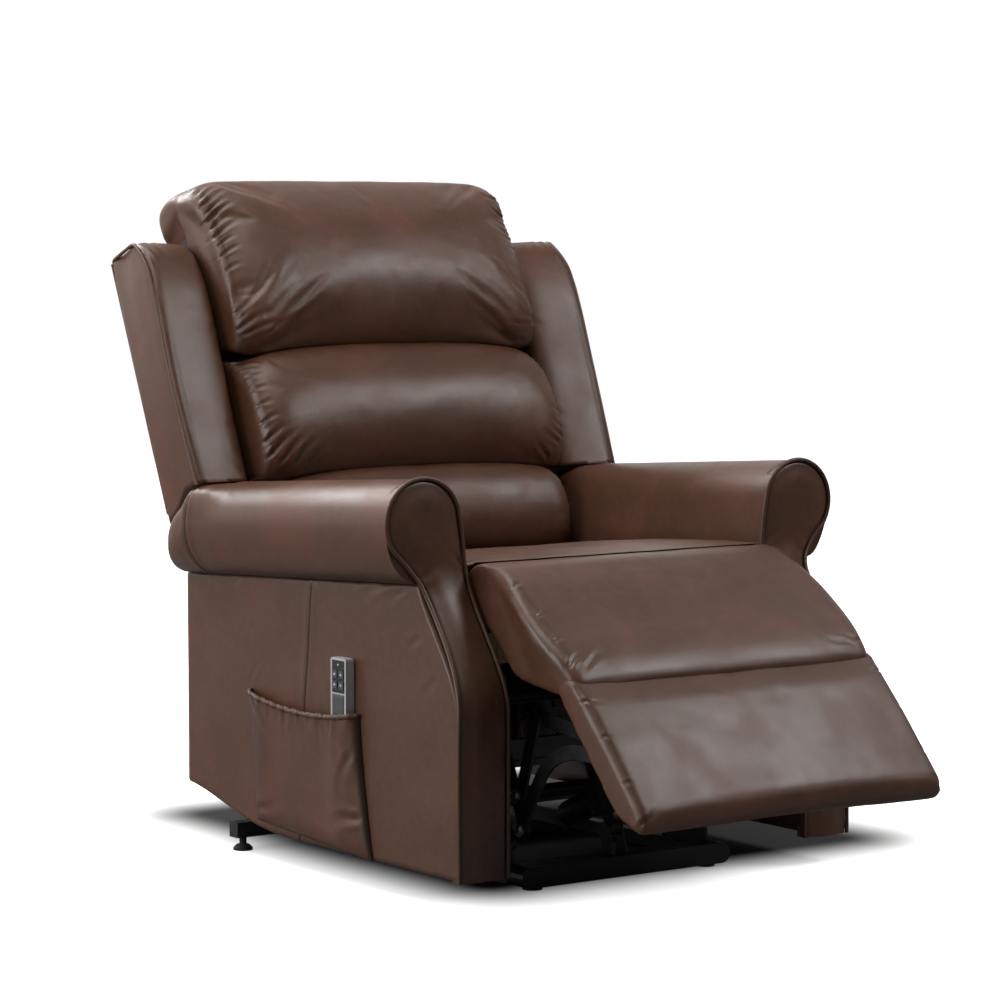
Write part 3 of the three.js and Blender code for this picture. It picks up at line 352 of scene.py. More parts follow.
def worn(name, colour, roughness, metallic, scale, texture, shades, spread):
    """A paint or a plastic, whose patches vary its colour between two shades and its roughness over a spread."""

    def build(tree):
        wear = effect(tree, "Uneven finish", {"Scale": scale})
        dark, pale = (tuple(min(1, c * shade) for c in colour) + (1,) for shade in shades)
        rough = ranged(tree, wear["Patches"], 0.3, 0.7, roughness - spread[0], roughness + spread[1])
        return {
            "Base Color": mixed(tree, wear["Patches"], dark, pale),
            "Metallic": metallic,
            "Roughness": rough,
            "Normal": bumped(tree, wear["Fine"], texture, 0.0002),
        }

    return material(name, build)


def steel(name, colour, roughness, metallic, scale=40.0):
    return worn(name, colour, roughness, metallic, scale, 0.18, (0.8, 1.35), (0.07, 0.09))


def plastic(name, colour, roughness, texture=0.25):
    return worn(name, colour, roughness, 0.0, 90.0, texture, (0.88, 1.14), (0.05, 0.07))


def timber():
    def build(tree):
        along = node(tree, "ShaderNodeMapping", {"Vector": on_piece(tree), "Scale": (6.0, 1.2, 6.0)}).outputs["Vector"]
        values = {"Vector": along, "Scale": 3.5, "Distortion": 7.0, "Detail": 3.0, "Detail Scale": 1.6}
        rings = node(tree, "ShaderNodeTexWave", values).outputs["Fac"]
        return {
            "Base Color": mixed(tree, rings, (0.40, 0.25, 0.12, 1), (0.55, 0.38, 0.21, 1)),
            "Roughness": 0.72,
            "Normal": bumped(tree, rings, 0.2, 0.0004),
        }

    return material("Timber", build)


# ------------------------------------------------------------------ settings


class CHAIR_PG_leather(bpy.types.PropertyGroup):
    """What the leather looks like."""

    base_colour: bpy.props.FloatVectorProperty(
        name="Base colour", description="Dye of the leather",
        subtype="COLOR", default=(0.082, 0.035, 0.018), min=0, max=1,
    )
    second_colour: bpy.props.FloatVectorProperty(
        name="Second colour", description="Redder dye of its patches",
        subtype="COLOR", default=(0.120, 0.036, 0.020), min=0, max=1,
    )
    patch_scale: bpy.props.FloatProperty(
        name="Patch scale", description="How many clouded patches lie along a metre", default=7.0, min=1, max=40
    )
    grain: bpy.props.FloatProperty(
        name="Grain", description="Size of one cell of the grain, in millimetres", default=1.5, min=0.4, max=6
    )


class CHAIR_PG_upholstery(bpy.types.PropertyGroup):
    """How the covers are stuffed and sewn."""

    piping: bpy.props.FloatProperty(
        name="Piping", description="Radius of the piping round the arm fronts",
        default=0.0034, min=0.001, max=0.008, unit="LENGTH",
    )
    crown: bpy.props.FloatProperty(
        name="Crown", description="How far the arm fronts swell", default=0.006, min=0, max=0.02, unit="LENGTH"
    )
    wrinkles: bpy.props.FloatProperty(
        name="Wrinkles", description="Strength of the folds at the cushions' ends", default=1.0, min=0, max=2
    )
    fill: bpy.props.FloatProperty(
        name="Fill", description="How tightly the cushions are stuffed", default=0.75, min=0, max=1, subtype="FACTOR"
    )


class CHAIR_PG_stage(bpy.types.PropertyGroup):
    """The camera and the light."""

    lens: bpy.props.FloatProperty(
        name="Lens", description="Focal length", default=125.4, min=20, max=300, unit="CAMERA"
    )
    azimuth: bpy.props.FloatProperty(
        name="Azimuth", description="Camera's turn round the chair", default=math.radians(-36), subtype="ANGLE"
    )
    elevation: bpy.props.FloatProperty(
        name="Elevation", description="Camera's height over the floor line", default=math.radians(4.5), subtype="ANGLE"
    )
    distance: bpy.props.FloatProperty(
        name="Distance", description="From the camera to what it looks at", default=5.5457, min=1, max=20, unit="LENGTH"
    )
    light: bpy.props.FloatProperty(
        name="Light", description="Strength of all lamps together", default=1.0, min=0.1, max=4
    )


# ------------------------------------------------------------------ measures of the chair

RECLINE = math.radians(23.5)
BACK_PIVOT = np.array([636.0, 407.0])
SCROLL = np.array([368.0, 574.0])
SCROLL_RADIUS = 67.0
ARM_INNER, ARM_OUTER = 292.0, 381.0
ARM_FOOT, ARM_REAR = 46.0, 787.0
PAD_PIVOT = np.array([-140.0, 335.0])
PAD_ANGLE = math.radians(-130.1)
SIDES = (("left", False), ("right", True))


def front_y(z):
    """How far back the arm's front stands at a height."""
    return 111 * smoothstep(290, 520, z)


def skirt(y):
    """Height of the side panel's lower edge."""
    sag = np.sin(math.pi * np.clip((np.asarray(y, float) - 470) / (ARM_REAR - 470), 0, 1))
    return ARM_FOOT + 54 * smoothstep(ARM_REAR * 0.55, ARM_REAR, y) - 13 * sag


def roll_under(y):
    return 483 - (np.asarray(y, float) - 111) * 0.0512


def roll_top(y):
    y = np.asarray(y, float)
    slope = 641 - (y - 111) * 0.0664
    reach = 196 - 14 * smoothstep(690, 724, y)
    sweep = 407 + np.sqrt(np.maximum(0, reach**2 - (y - 636) ** 2))
    return np.where(y < 622, slope, np.minimum(slope, sweep))


def on_back(points):
    """Points given as x, distance in front of the back's frame, and height along it."""
    p = np.asarray(points, float)
    c, s = math.cos(RECLINE), math.sin(RECLINE)
    y = BACK_PIVOT[0] - p[..., 1] * c + p[..., 2] * s
    z = BACK_PIVOT[1] + p[..., 1] * s + p[..., 2] * c
    return np.stack([p[..., 0], y, z], -1)


def on_pad(along, out):
    """Side-view points of the lower footrest pad, from its pivot."""
    a = np.array([math.cos(PAD_ANGLE), math.sin(PAD_ANGLE)])
    o = np.array([a[1], -a[0]])
    return PAD_PIVOT + np.multiply.outer(np.asarray(along, float), a) + np.multiply.outer(np.asarray(out, float), o)


# ------------------------------------------------------------------ arms


ARM_OUTER_LINE = through([(46, 381), (290, 381), (404, 371), (475, 376), (506, 395), (533.8, 421.6)])
ARM_INNER_LINE = through([(46, 292), (484, 292), (549, 297), (594.1, 304.1)])


def scroll_half(z):
    return np.sqrt(np.maximum(0, SCROLL_RADIUS**2 - (z - SCROLL[1]) ** 2))


def arm_outer(z):
    return np.where(z < 533.8, ARM_OUTER_LINE(z), SCROLL[0] + scroll_half(z))


def arm_inner(z):
    return np.where(z < 594.1, ARM_INNER_LINE(z), SCROLL[0] - scroll_half(z))


def facing_outline(count, shrink=0.0):
    """The outline of an arm's front in x and z, from its outer foot over the scroll to its inner foot."""
    low = np.linspace(ARM_FOOT, 530, 90)
    crest = arc(SCROLL, SCROLL_RADIUS, -37, 162, 60)
    outer = np.stack([arm_outer(low), low], 1)
    down = np.linspace(592, ARM_FOOT, 90)
    inner = np.stack([arm_inner(down), down], 1)
    line = spaced(np.vstack([outer, crest, inner]), count)
    along = np.gradient(line, axis=0)
    along /= np.linalg.norm(along, axis=1)[:, None]
    return line + np.stack([-along[:, 1], along[:, 0]], 1) * shrink


def distance_to(line, x, z):
    p = np.stack([np.ravel(x), np.ravel(z)], 1)
    best = np.full(len(p), 1e9)
    for a, b in zip(line[:-1], line[1:]):
        ab = b - a
        t = np.clip(((p - a) @ ab) / (ab @ ab), 0, 1)
        best = np.minimum(best, np.linalg.norm(p - (a + t[:, None] * ab), axis=1))
    return best.reshape(np.shape(x))


def arm_facing(look):
    """The padded front of an arm, between its two lines of piping."""
    inset = 1.5
    outline = facing_outline(420, inset)
    crown = look.crown * 1000
    round_top = np.sin(np.radians(np.linspace(-50, 89, 44)))
    heights = np.r_[np.linspace(ARM_FOOT, 520, 96), SCROLL[1] + (SCROLL_RADIUS - inset) * round_top]
    across = (1 - np.cos(np.linspace(0, math.pi, 27))) / 2
    inner = np.array([arm_inner(z) for z in heights]) + inset
    outer = np.array([arm_outer(z) for z in heights]) - inset
    x = inner[:, None] + (outer - inner)[:, None] * across
    z = np.broadcast_to(heights[:, None], x.shape)
    d = distance_to(outline, x, z)
    round_edge = 7 * (1 - np.sqrt(1 - (1 - np.clip(d / 8, 0, 1)) ** 2))
    swell = crown * smoothstep(0, 36, d)
    folds = [
        ((372, 492), (346, 520), 7, 2.2),
        ((300, 512), (338, 534), 6, 1.6),
        ((378, 470), (350, 478), 6, 1.3),
    ]
    y = front_y(z) + 4 + round_edge - swell - fold_depth(x, z, folds)
    back = front_y(heights)[:, None] + 24
    rings = np.concatenate(
        [
            np.stack([x, y, z], -1),
            np.stack([x[:, -1:], back, z[:, -1:]], -1),
            np.stack([x[:, :1], back, z[:, :1]], -1),
        ],
        1,
    )
    points, faces = loft(rings)
    # Painted shade: the face darkens to 0.6 within 9 mm of its outline, in the crease beside the piping, and its back
    # edges are dark at 0.6.
    painted_shade = np.ones(len(points))
    shades = np.concatenate([0.6 + 0.4 * smoothstep(0, 9, d), np.full((len(heights), 2), 0.6)], 1)
    painted_shade[: shades.size] = shades.ravel()
    return points, faces, painted_shade


def facing_piping():
    line = facing_outline(260)
    y = front_y(line[:, 1]) + 4.5
    return np.stack([line[:, 0], y, line[:, 1]], 1)


ROLL_HEIGHT = 158.0
ROLL_SEAM = 683.0  # how far back the seam across the roll lies


def roll_section(count=64):
    """Points round the arm's roll: x, and height as a share of the roll's."""
    share = SCROLL_RADIUS / ROLL_HEIGHT
    inner = [(ARM_INNER, 0), (ARM_INNER, 0.12), (ARM_INNER + 1, 0.25), (297, 0.42)]
    top = arc((0, 0), 1, 176, 0, 26)
    top = np.stack([SCROLL[0] + top[:, 0] * SCROLL_RADIUS, 1 + (top[:, 1] - 1) * share], 1)
    tuck = arc((0, 0), 1, 0, -90, 14)[1:]
    across = ARM_OUTER + tuck[:, 0] * (SCROLL[0] + SCROLL_RADIUS - ARM_OUTER)
    tuck = np.stack([across, (1 + tuck[:, 1]) * (1 - share)], 1)
    line = np.vstack([inner, top, tuck, [(ARM_OUTER - 8, 0)]])
    return spaced(line * (1, ROLL_HEIGHT), count) / (1, ROLL_HEIGHT)


def arm_roll():
    section = roll_section()
    places = np.unique(np.r_[np.linspace(118, 758, 70), np.linspace(674, 706, 33), np.linspace(762, 803, 16)])
    rings, painted_shades = [], []
    for y in places:
        under = roll_under(min(y, ARM_REAR))
        height = roll_top(y) - under
        end = smoothstep(772, 806, y) * 0.3
        draw_in = 1 - 0.45 * max(0.0, (y - 713) / 90) ** 2
        x, z = section[:, 0].copy(), under + section[:, 1] * height
        middle_x, middle_z = 352.0, under + height * 0.5
        centre_z = under + height * (1 - SCROLL_RADIUS / ROLL_HEIGHT)
        ax, az = (x - SCROLL[0]) / SCROLL_RADIUS, (z - centre_z) / max(under + height - centre_z, 1)
        quadrant = (ax > 0) & (az > 0)
        square = (np.abs(ax) ** 5 + np.abs(az) ** 5 + 1e-9) ** -0.2
        push = np.where(quadrant, square ** float(smoothstep(590, 660, y)), 1)
        x = SCROLL[0] + (x - SCROLL[0]) * push
        z = centre_z + (z - centre_z) * push
        x = np.where(x > SCROLL[0], SCROLL[0] + (x - SCROLL[0]) * draw_in, x)
        x += (middle_x - x) * end
        z += (middle_z - z) * end
        low = np.clip(1 - (z - under) / 40, 0, 1) if y > ARM_REAR else np.zeros_like(z)
        yy = np.full_like(x, y)
        if y < 119:
            yy = np.clip(front_y(z) + 7, 0, 118)
        seam = ROLL_SEAM + 14 * np.sin((z - under) / max(height, 1) * math.pi) - yy
        groove = np.exp(-((seam / 2.6) ** 2))
        puff = 1.6 * np.exp(-(((seam - 9) / 7) ** 2)) + 1.6 * np.exp(-(((seam + 9) / 7) ** 2))
        out = np.stack([x - SCROLL[0], np.zeros_like(x), z - (under + height * 0.45)], 1)
        out /= np.maximum(np.linalg.norm(out, axis=1), 1)[:, None]
        shift = (puff - 2.4 * groove) * np.where(x > 300, 1, 0.2)
        rings.append(np.stack([x, yy - low * 14, z], 1) + out * shift[:, None])
        # Painted shade: darker in the seam's groove and where the roll tucks under towards the panel, and the end caps
        # are dark at 0.6.
        tuck = smoothstep(0, 26, z - under)
        painted_shades.append((1 - 0.6 * groove) * (0.45 + 0.55 * np.where(x > 340, tuck, 1)))
    points, faces = loft(rings)
    painted_shade = np.r_[np.ravel(painted_shades), np.full(2 * len(section), 0.6)]
    return points, faces, painted_shade


def slab(grid, inward, thickness, painted_shade=None):
    """A closed sheet: its shown face is the grid, and its other face lies inwards by the thickness."""
    n, m = grid.shape[:2]
    inner = grid + np.asarray(inward, float) * thickness
    points = np.vstack([grid.reshape(-1, 3), inner.reshape(-1, 3)])
    faces = []
    for i in range(n - 1):
        for j in range(m - 1):
            a = i * m + j
            faces.append((a, a + 1, a + m + 1, a + m))
            b = a + n * m
            faces.append((b, b + m, b + m + 1, b + 1))
    rim = [i * m for i in range(n)] + [(n - 1) * m + j for j in range(1, m)]
    rim += [i * m + m - 1 for i in range(n - 2, -1, -1)] + [j for j in range(m - 2, 0, -1)]
    for a, b in zip(rim, rim[1:] + rim[:1]):
        faces.append((a, b, b + n * m, a + n * m))
    # The hidden inner face carries painted shade of 0.5.
    shade = np.ones(len(points)) if painted_shade is None else np.r_[np.ravel(painted_shade), np.full(n * m, 0.5)]
    return points, faces, shade


def edge_drop(d, radius):
    """How far a rounded border falls back at a distance from the edge."""
    t = 1 - np.clip(np.asarray(d, float) / radius, 0, 1)
    return radius * (1 - np.sqrt(1 - t * t))


def panel_grid(rear, foot, columns=110, rows=84, extra=()):
    """A side panel's points between the arm's front, its rear edge, its foot and the roll."""
    s, t = np.meshgrid(np.unique(np.r_[np.linspace(0, 1, columns), extra]), np.linspace(0, 1, rows), indexing="ij")
    y = 8 + s * (rear - 8)
    for _ in range(3):
        z = foot(y) + t * (roll_under(y) + 3 - foot(y))
        y = front_y(z) + 8 + s * (rear - front_y(z) - 8)
    return s, t, y, z


SIDE_SEAM = 0.52  # where the outer panel's upright seam lies, as a share of its depth


def outer_panel():
    s, t, y, z = panel_grid(ARM_REAR, skirt, extra=SIDE_SEAM + np.linspace(-7, 7, 15) / ARM_REAR)
    seam_y = 403 + 18 * np.clip((466 - z) / 199, 0, 2.1)
    start = front_y(z) + 8
    near = np.clip(1 - np.abs(s - SIDE_SEAM) / 0.16, 0, 1)
    y = y + (seam_y - start - SIDE_SEAM * (ARM_REAR - start)) * near
    seam = y - seam_y
    groove = np.exp(-((seam / 1.9) ** 2))
    sides = 1.2 * (np.exp(-(((seam - 8) / 6) ** 2)) + np.exp(-(((seam + 8) / 6) ** 2)))
    puff = 2.2 * np.sin(math.pi * np.clip(s, 0, 1)) ** 0.5 * np.sin(math.pi * np.clip(t, 0, 1)) ** 0.5
    wave = 1.1 * value_noise(y / 90, z / 70, 3)
    folds = [
        ((190, 480), (262, 446), 6, 2.6), ((150, 470), (196, 440), 5, 2.2), ((250, 480), (300, 458), 5, 1.8),
        ((330, 476), (352, 452), 5, 1.4), ((392, 470), (372, 448), 5, 1.2), ((440, 470), (462, 452), 5, 1.2),
        ((520, 464), (500, 444), 5, 1.0), ((610, 458), (640, 430), 6, 1.3), ((700, 452), (680, 426), 6, 1.2),
        ((110, 400), (150, 372), 6, 1.6), ((70, 340), (104, 300), 7, 1.2), ((579, 296), (560, 330), 5, 1.8),
    ]
    lift = fold_depth(y, z, folds)
    rear, low = ARM_REAR - y, z - skirt(y)
    drop = edge_drop(rear, 9) + edge_drop(low, 6) + edge_drop(roll_under(y) + 3 - z, 7)
    x = ARM_OUTER - 0.6 + puff + wave * np.minimum(1, rear / 60) + sides - 2.0 * groove + lift - drop
    # Painted shade: darker in the seam's groove, in the shadow just under the roll and along the foot.
    painted_shade = (1 - 0.55 * groove) * (0.62 + 0.38 * smoothstep(0, 12, roll_under(y) - z))
    painted_shade = painted_shade * (0.7 + 0.3 * smoothstep(0, 6, low))
    return slab(np.stack([x, y, z], -1), (-1, 0, 0), 12, painted_shade)


def rear_corner():
    """The arm's rear face, between its outer panel and the apron."""
    x, z = np.meshgrid(np.linspace(ARM_INNER + 0.5, ARM_OUTER - 3, 24), np.linspace(0, 1, 60), indexing="ij")
    z = skirt(ARM_REAR) + z * (roll_under(ARM_REAR) - 1 - skirt(ARM_REAR))
    y = ARM_REAR - 1 - edge_drop(ARM_OUTER - x, 8) - edge_drop(z - skirt(ARM_REAR), 5)
    y = y + 0.8 * value_noise(x / 40, z / 60, 8)
    # Painted shade: darker in the corner beside the inner panel.
    painted_shade = 0.7 + 0.3 * smoothstep(0, 9, x - ARM_INNER)
    return slab(np.stack([x, y, z], -1), (0, -1, 0), 12, painted_shade)


def inner_panel():
    s, t, y, z = panel_grid(ARM_REAR - 18, lambda y: np.full_like(np.asarray(y, float), 54.0), 60, 40)
    puff = 1.5 * np.sin(math.pi * s) ** 0.5 * np.sin(math.pi * t) ** 0.5
    x = ARM_INNER + 0.6 - puff + edge_drop(z - 54, 5)
    # The whole inner panel carries painted shade of 0.85, as it faces in towards the seat.
    return slab(np.stack([x, y, z], -1), (1, 0, 0), 12, np.full(x.shape, 0.85))


def rear_apron():
    """The cover across the chair's rear, between the arms."""
    s, t = np.meshgrid(np.linspace(-1, 1, 90), np.linspace(0, 1, 60), indexing="ij")
    half, low, high = 291.7, 100.0, 395.0
    x = s * half
    z = low + t * (high - low)
    y = ARM_REAR - 1 + 1.0 * value_noise(x / 90, z / 80, 31) - edge_drop(high - z, 6) - edge_drop(z - low, 5)
    # Painted shade: darker within 10 mm of its sides, between the arms.
    painted_shade = 0.6 + 0.4 * smoothstep(0, 10, half - np.abs(x))
    return slab(np.stack([x, y, z], -1), (0, -1, 0), 8, painted_shade)


# ------------------------------------------------------------------ wings

WING_FRONT = through([(190, 48), (370, 52), (523, 59), (590, 50), (618, 38), (633, 22)])
WING_OUTER = through([(190, 425), (370, 431), (560, 430), (633, 424)])


def wing_section(u):
    """Points round the wing at a height along the back: x and distance in front of the frame. The first line runs
    from the inner rear corner round the outside, the second over the front to the inside."""
    front, outer = float(WING_FRONT(u)), float(WING_OUTER(u))
    inner = 311.0
    side = [
        (inner + 4, -80), (inner + 40, -81.5), (408, -81.5), (414, -80.5), (417.5, -75), (outer - 8, -40),
        (outer - 3, -6), (outer - 0.5, front - 30), (outer, front - 14),
    ]
    face = [
        (outer - 2, front - 5), (outer - 9, front + 1), (outer - 30, front), (inner + 46, front - 4),
        (inner + 18, front - 12), (inner + 4, front - 26), (inner, front - 42), (inner - 0.5, -8), (inner, -44),
    ]
    return np.array(side), np.array(face)


def wing():
    heights = np.r_[np.linspace(0, 0.9, 64), 0.9 + 0.1 * np.sin(np.linspace(0.12, math.pi / 2, 14))]
    rings, painted_shades = [], []
    for place, share in enumerate(np.r_[0, heights]):
        u_mid = 190 + share * 443
        side, face = wing_section(u_mid)
        ring = np.vstack([curve(side, 34), curve(np.vstack([side[-1:], face]), 52)[1:]])
        near_top = np.clip((share - 0.93) / 0.07, 0, 1)
        pull = 1 - 0.04 * (1 - math.sqrt(max(0.0, 1 - near_top**2)))
        centre = np.array([352.0, -14.0])
        ring = centre + (ring - centre) * pull
        if place == 0:  # the foot's middle line, so that the foot stays curved
            ring[:, 0] = 370 + (ring[:, 0] - 370) * 0.03
        n = ring[:, 1]
        reach = 200 - 14 * smoothstep(10, -50, n)
        foot = np.sqrt(reach**2 - np.clip(n, -90, 90) ** 2)
        top = 633 - 9 * smoothstep(-82, 60, n)
        u = foot + (top - foot) * share
        bulge = 2.4 * np.sin(math.pi * share)
        sideways = np.where(ring[:, 0] > 400, bulge, 0)
        rings.append(np.stack([ring[:, 0] + sideways, n, u], 1))
        # Painted shade: the wing's inner side, beside the cushions, darkens to 0.55.
        inward = smoothstep(330, 312, ring[:, 0])
        painted_shades.append(1 - 0.45 * inward)
    rings = np.array(rings)
    painted_shades = np.array(painted_shades)
    face = rings[..., 1] > 20
    folds = [
        ((400, 628), (372, 590), 6, 2.0), ((384, 632), (352, 598), 5, 1.8), ((410, 612), (392, 566), 5, 1.6),
        ((418, 590), (398, 548), 5, 1.3), ((330, 610), (352, 560), 6, 1.2), ((322, 470), (350, 440), 6, 1.2),
        ((322, 300), (356, 276), 7, 1.4), ((330, 214), (372, 240), 7, 1.5),
    ]
    rings[..., 1] += np.where(face, fold_depth(rings[..., 0], rings[..., 2], folds), 0)
    seam = np.exp(-(((rings[..., 0] - (WING_OUTER(rings[..., 2]) - 11)) / 1.7) ** 2)) * face
    rings[..., 1] -= 1.6 * seam
    # Painted shade in the seam's groove; the caps are dark at 0.7.
    painted_shades = painted_shades * (1 - 0.5 * seam)
    points, faces = loft(on_back(rings))
    return points, faces, np.r_[painted_shades.ravel(), np.full(2 * rings.shape[1], 0.7)]


def wing_piping():
    u = np.linspace(193, 606, 60)
    up = np.stack([WING_OUTER(u) + 0.6, WING_FRONT(u) - 6, u], 1)
    over = [(427, 22, 621), (425, 8, 626.5), (422, -14, 629), (419, -44, 631.5), (415, -70, 633.5), (411, -80, 633.5)]
    return on_back(curve(np.vstack([up[::6], over]), 110))


def wing_rear_seam():
    u = np.linspace(186, 630, 40)
    return on_back(np.stack([np.full_like(u, 415.0), np.full_like(u, -80.0), u], 1))


def back_liner():
    """The dark cover drawn over the timber frame, seen between the cushions and the wings; its leather is darkened to
    three tenths as painted shade for those gaps.
    """
    half, front, rear = 310.0, 1.6, -76.5
    line = spaced([(-half, rear), (-half, front), (half, front), (half, rear)], 80)
    heights = np.linspace(206, 645, 44)
    rings = []
    for u in heights:
        sag = 0.5 * value_noise(line[:, 0] / 60, np.full(len(line), u / 50), 41)
        rings.append(np.column_stack([line[:, 0], np.minimum(line[:, 1] + sag, front), np.full(len(line), u)]))
    return loft(on_back(np.array(rings)))


def rear_shell():
    """The cover of the back's rear, between the wings."""
    s, t = np.meshgrid(np.linspace(-1, 1, 90), np.linspace(0, 1, 90), indexing="ij")
    u = 14 + t * 617
    half = 282 + 27 * smoothstep(188, 212, u)
    x = s * half
    n = -81.2 - 1.4 * np.sin(math.pi * t) ** 0.6 * (1 - s**4) + 1.0 * value_noise(x / 110, u / 120, 5)
    n += edge_drop(half - np.abs(x), 5) + edge_drop(u - 14, 5)
    grid = on_back(np.stack([x, n, u], -1))
    # Painted shade: darker within 10 mm of its sides, beside the wings.
    painted_shade = 0.65 + 0.35 * smoothstep(0, 10, half - np.abs(x))
    inward = on_back(np.array([0, 1.0, 0])) - on_back(np.zeros(3))
    return slab(grid[::-1], inward, 9, painted_shade[::-1])


# ------------------------------------------------------------------ cushions


def cushion_rings(profile, half, end, arch=None, stations=120):
    """Rings of a cushion across the chair from its closed side profile, whose points are (a, b, looseness, swell).
    end is the length and the depth of the rounding at both ends; arch moves a seam's points near the ends."""
    length, deep = end
    line = np.asarray(profile, float)
    along = np.roll(line[:, :2], -1, 0) - np.roll(line[:, :2], 1, 0)
    along /= np.linalg.norm(along, axis=1)[:, None]
    area = np.sum(line[:, 0] * np.roll(line[:, 1], -1) - np.roll(line[:, 0], -1) * line[:, 1])
    outward = np.stack([along[:, 1], -along[:, 0]], 1) * np.sign(area)
    share = -np.cos(np.linspace(0, math.pi, stations))
    x = share * half
    rings = []
    for xi in x:
        share_in = np.clip((abs(xi) - (half - length)) / length, 0, 1)
        drop = deep * (1 - math.sqrt(1 - share_in**2))
        swell = line[:, 3] * (1 - (xi / half) ** 4) - drop
        moved = line[:, :2] + outward * (swell * line[:, 2])[:, None]
        if arch is not None:
            moved = moved + arch(xi / half, line)
        rings.append(np.column_stack([np.full(len(line), xi), moved]))
    return np.array(rings)


def profile_of(parts, count, crown):
    """A closed profile from runs of points: each run is (points, looseness at its start, middle and end)."""
    points, loose = [], []
    for run, (a, b, c) in parts:
        run = np.asarray(run, float)
        t = np.linspace(0, 1, len(run))
        points.append(run)
        loose.append(np.interp(t, [0, 0.14, 0.86, 1], [a, b, b, c]))
    p, w = np.vstack(points), np.concatenate(loose)
    closed = np.vstack([p, p[:1]])
    run = np.r_[0, np.cumsum(np.linalg.norm(np.diff(closed, axis=0), axis=1))]
    at = np.linspace(0, run[-1], count + 1)[:-1]
    x = np.interp(at, run, closed[:, 0])
    y = np.interp(at, run, closed[:, 1])
    loose = np.interp(at, run, np.r_[w, w[:1]])
    return np.column_stack([x, y, loose, np.full(count, crown)])


def head_profile():
    points = [(30, 432), (58, 424), (88, 438), (106, 474), (109, 510), (102, 580), (88, 650), (70, 700), (44, 724)]
    face = curve([*points, (8, 731)], 90)
    over = curve([(8, 731), (-34, 731), (-60, 721), (-73, 698), (-71, 668), (-67, 642)], 40)[1:]
    rear = [(-60, 641), (-1, 641), (0.5, 636), (0.5, 440), (4, 432)]
    return profile_of([(face, (0.3, 1, 1)), (over, (0.6, 0.6, 0.2)), (spaced(rear, 50), (0, 0, 0))], 200, 6)


def middle_profile():
    points = [(26, 207), (56, 203), (84, 222), (100, 258), (106, 300), (102, 348), (88, 392), (66, 417), (30, 424)]
    face = curve(points, 90)
    rear = [(8, 424), (0.5, 418), (0.5, 212), (8, 207)]
    return profile_of([(face, (0.3, 1, 0.3)), (spaced(rear, 30), (0, 0, 0))], 150, 5)


def lumbar_profile():
    face = curve([(20, 51), (48, 52), (76, 72), (90, 110), (92, 142), (84, 176), (64, 197), (30, 202)], 90)
    rear = [(8, 202), (0.5, 196), (0.5, 58), (8, 52)]
    return profile_of([(face, (0.3, 1, 0.3)), (spaced(rear, 30), (0, 0, 0))], 130, 5)


def seat_profile():
    front = arc((85, 458), 55, -38, 84, 24)
    top = curve([front[-1], (112, 512), (190, 508), (330, 499), (470, 480), (560, 465), (588, 452)], 70)[1:]
    rear = curve([top[-1], (600, 436), (599, 418), (588, 401)], 14)[1:]
    under = spaced([(586, 401), (front[0][0] + 6, 401)], 40)
    return profile_of([(front, (0, 0, 0)), (top, (0, 1, 1)), (rear, (0.8, 0.4, 0)), (under, (0, 0, 0))], 220, 7)


def chaise_profile():
    rear = arc((85, 458), 53, -112, 88, 40)
    slope = [(52, 508), (22, 493), (-16, 468), (-76, 424), (-108, 402), (-136, 379), (-153, 360), (-158, 347)]
    top = curve([rear[-1], *slope], 90)[1:]
    nose = curve([top[-1], (-156, 338), (-147, 331), (-134, 329)], 16)[1:]
    under = curve([nose[-1], (-60, 338), (0, 350), (38, 384), rear[0]], 50)[1:-1]
    return profile_of([(rear, (0, 0, 0)), (top, (0, 1, 0.7)), (nose, (0, 0, 0)), (under, (0.4, 0.4, 0))], 220, 6)


def pad_profile():
    crest = arc((0, 0), 24, 225, 90, 20)
    front = [(14, 27), (40, 31), (120, 35), (196, 36), (226, 35), (241, 28), (248, 16), (243, 4), (222, -6)]
    face = curve([crest[-1], *front], 90)[1:]
    rear = spaced([face[-1], (186, -15.5), (12, -17)], 36)[1:]
    local = [(crest, (0, 0, 0.2)), (face, (0.2, 1, 0.8)), (rear, (0, 0, 0))]
    return profile_of([(on_pad(np.array(r)[:, 0], np.array(r)[:, 1]), w) for r, w in local], 200, 5)


def back_arch(drop):
    """Near their ends the back's cushions hang lower, at the seams as at the faces, but not at the head's top."""

    def arch(share, line):
        low = 1 - smoothstep(520, 700, line[:, 1])
        return np.column_stack([np.zeros(len(line)), -drop * abs(share) ** 3 * np.clip(line[:, 0] / 50, 0, 1) * low])

    return arch


def pad_arch(share, line):
    """The footrest's lower edge rises a little in its middle."""
    start, one = on_pad([0, 1], [0, 0])
    along = (line[:, :2] - start) @ (one - start)
    return np.outer(-9 * smoothstep(190, 236, along) * (1 - share**2), one - start)


def head_ears(rings):
    """Over the wings the head cushion's ends stand out sideways."""
    behind = rings[..., 1] < 4
    out = np.where(behind, smoothstep(634, 668, rings[..., 2]), smoothstep(636, 684, rings[..., 2]))
    out = out * (0.55 + 0.45 * smoothstep(70, -20, rings[..., 1]))
    rings[..., 0] *= 1 + 0.056 * out
    return rings


def chaise_ends(rings):
    """In front of the arms the chaise pad's ends swell sideways and up."""
    y = rings[..., 1]
    swell = np.sin(math.pi * np.clip((30 - y) / 190, 0, 1)) ** 0.8
    high = smoothstep(-60, 10, rings[..., 2] - np.interp(y, [-150, 60], [355, 500]))
    rings[..., 0] *= 1 + 0.062 * swell * (0.35 + 0.65 * high)
    return rings


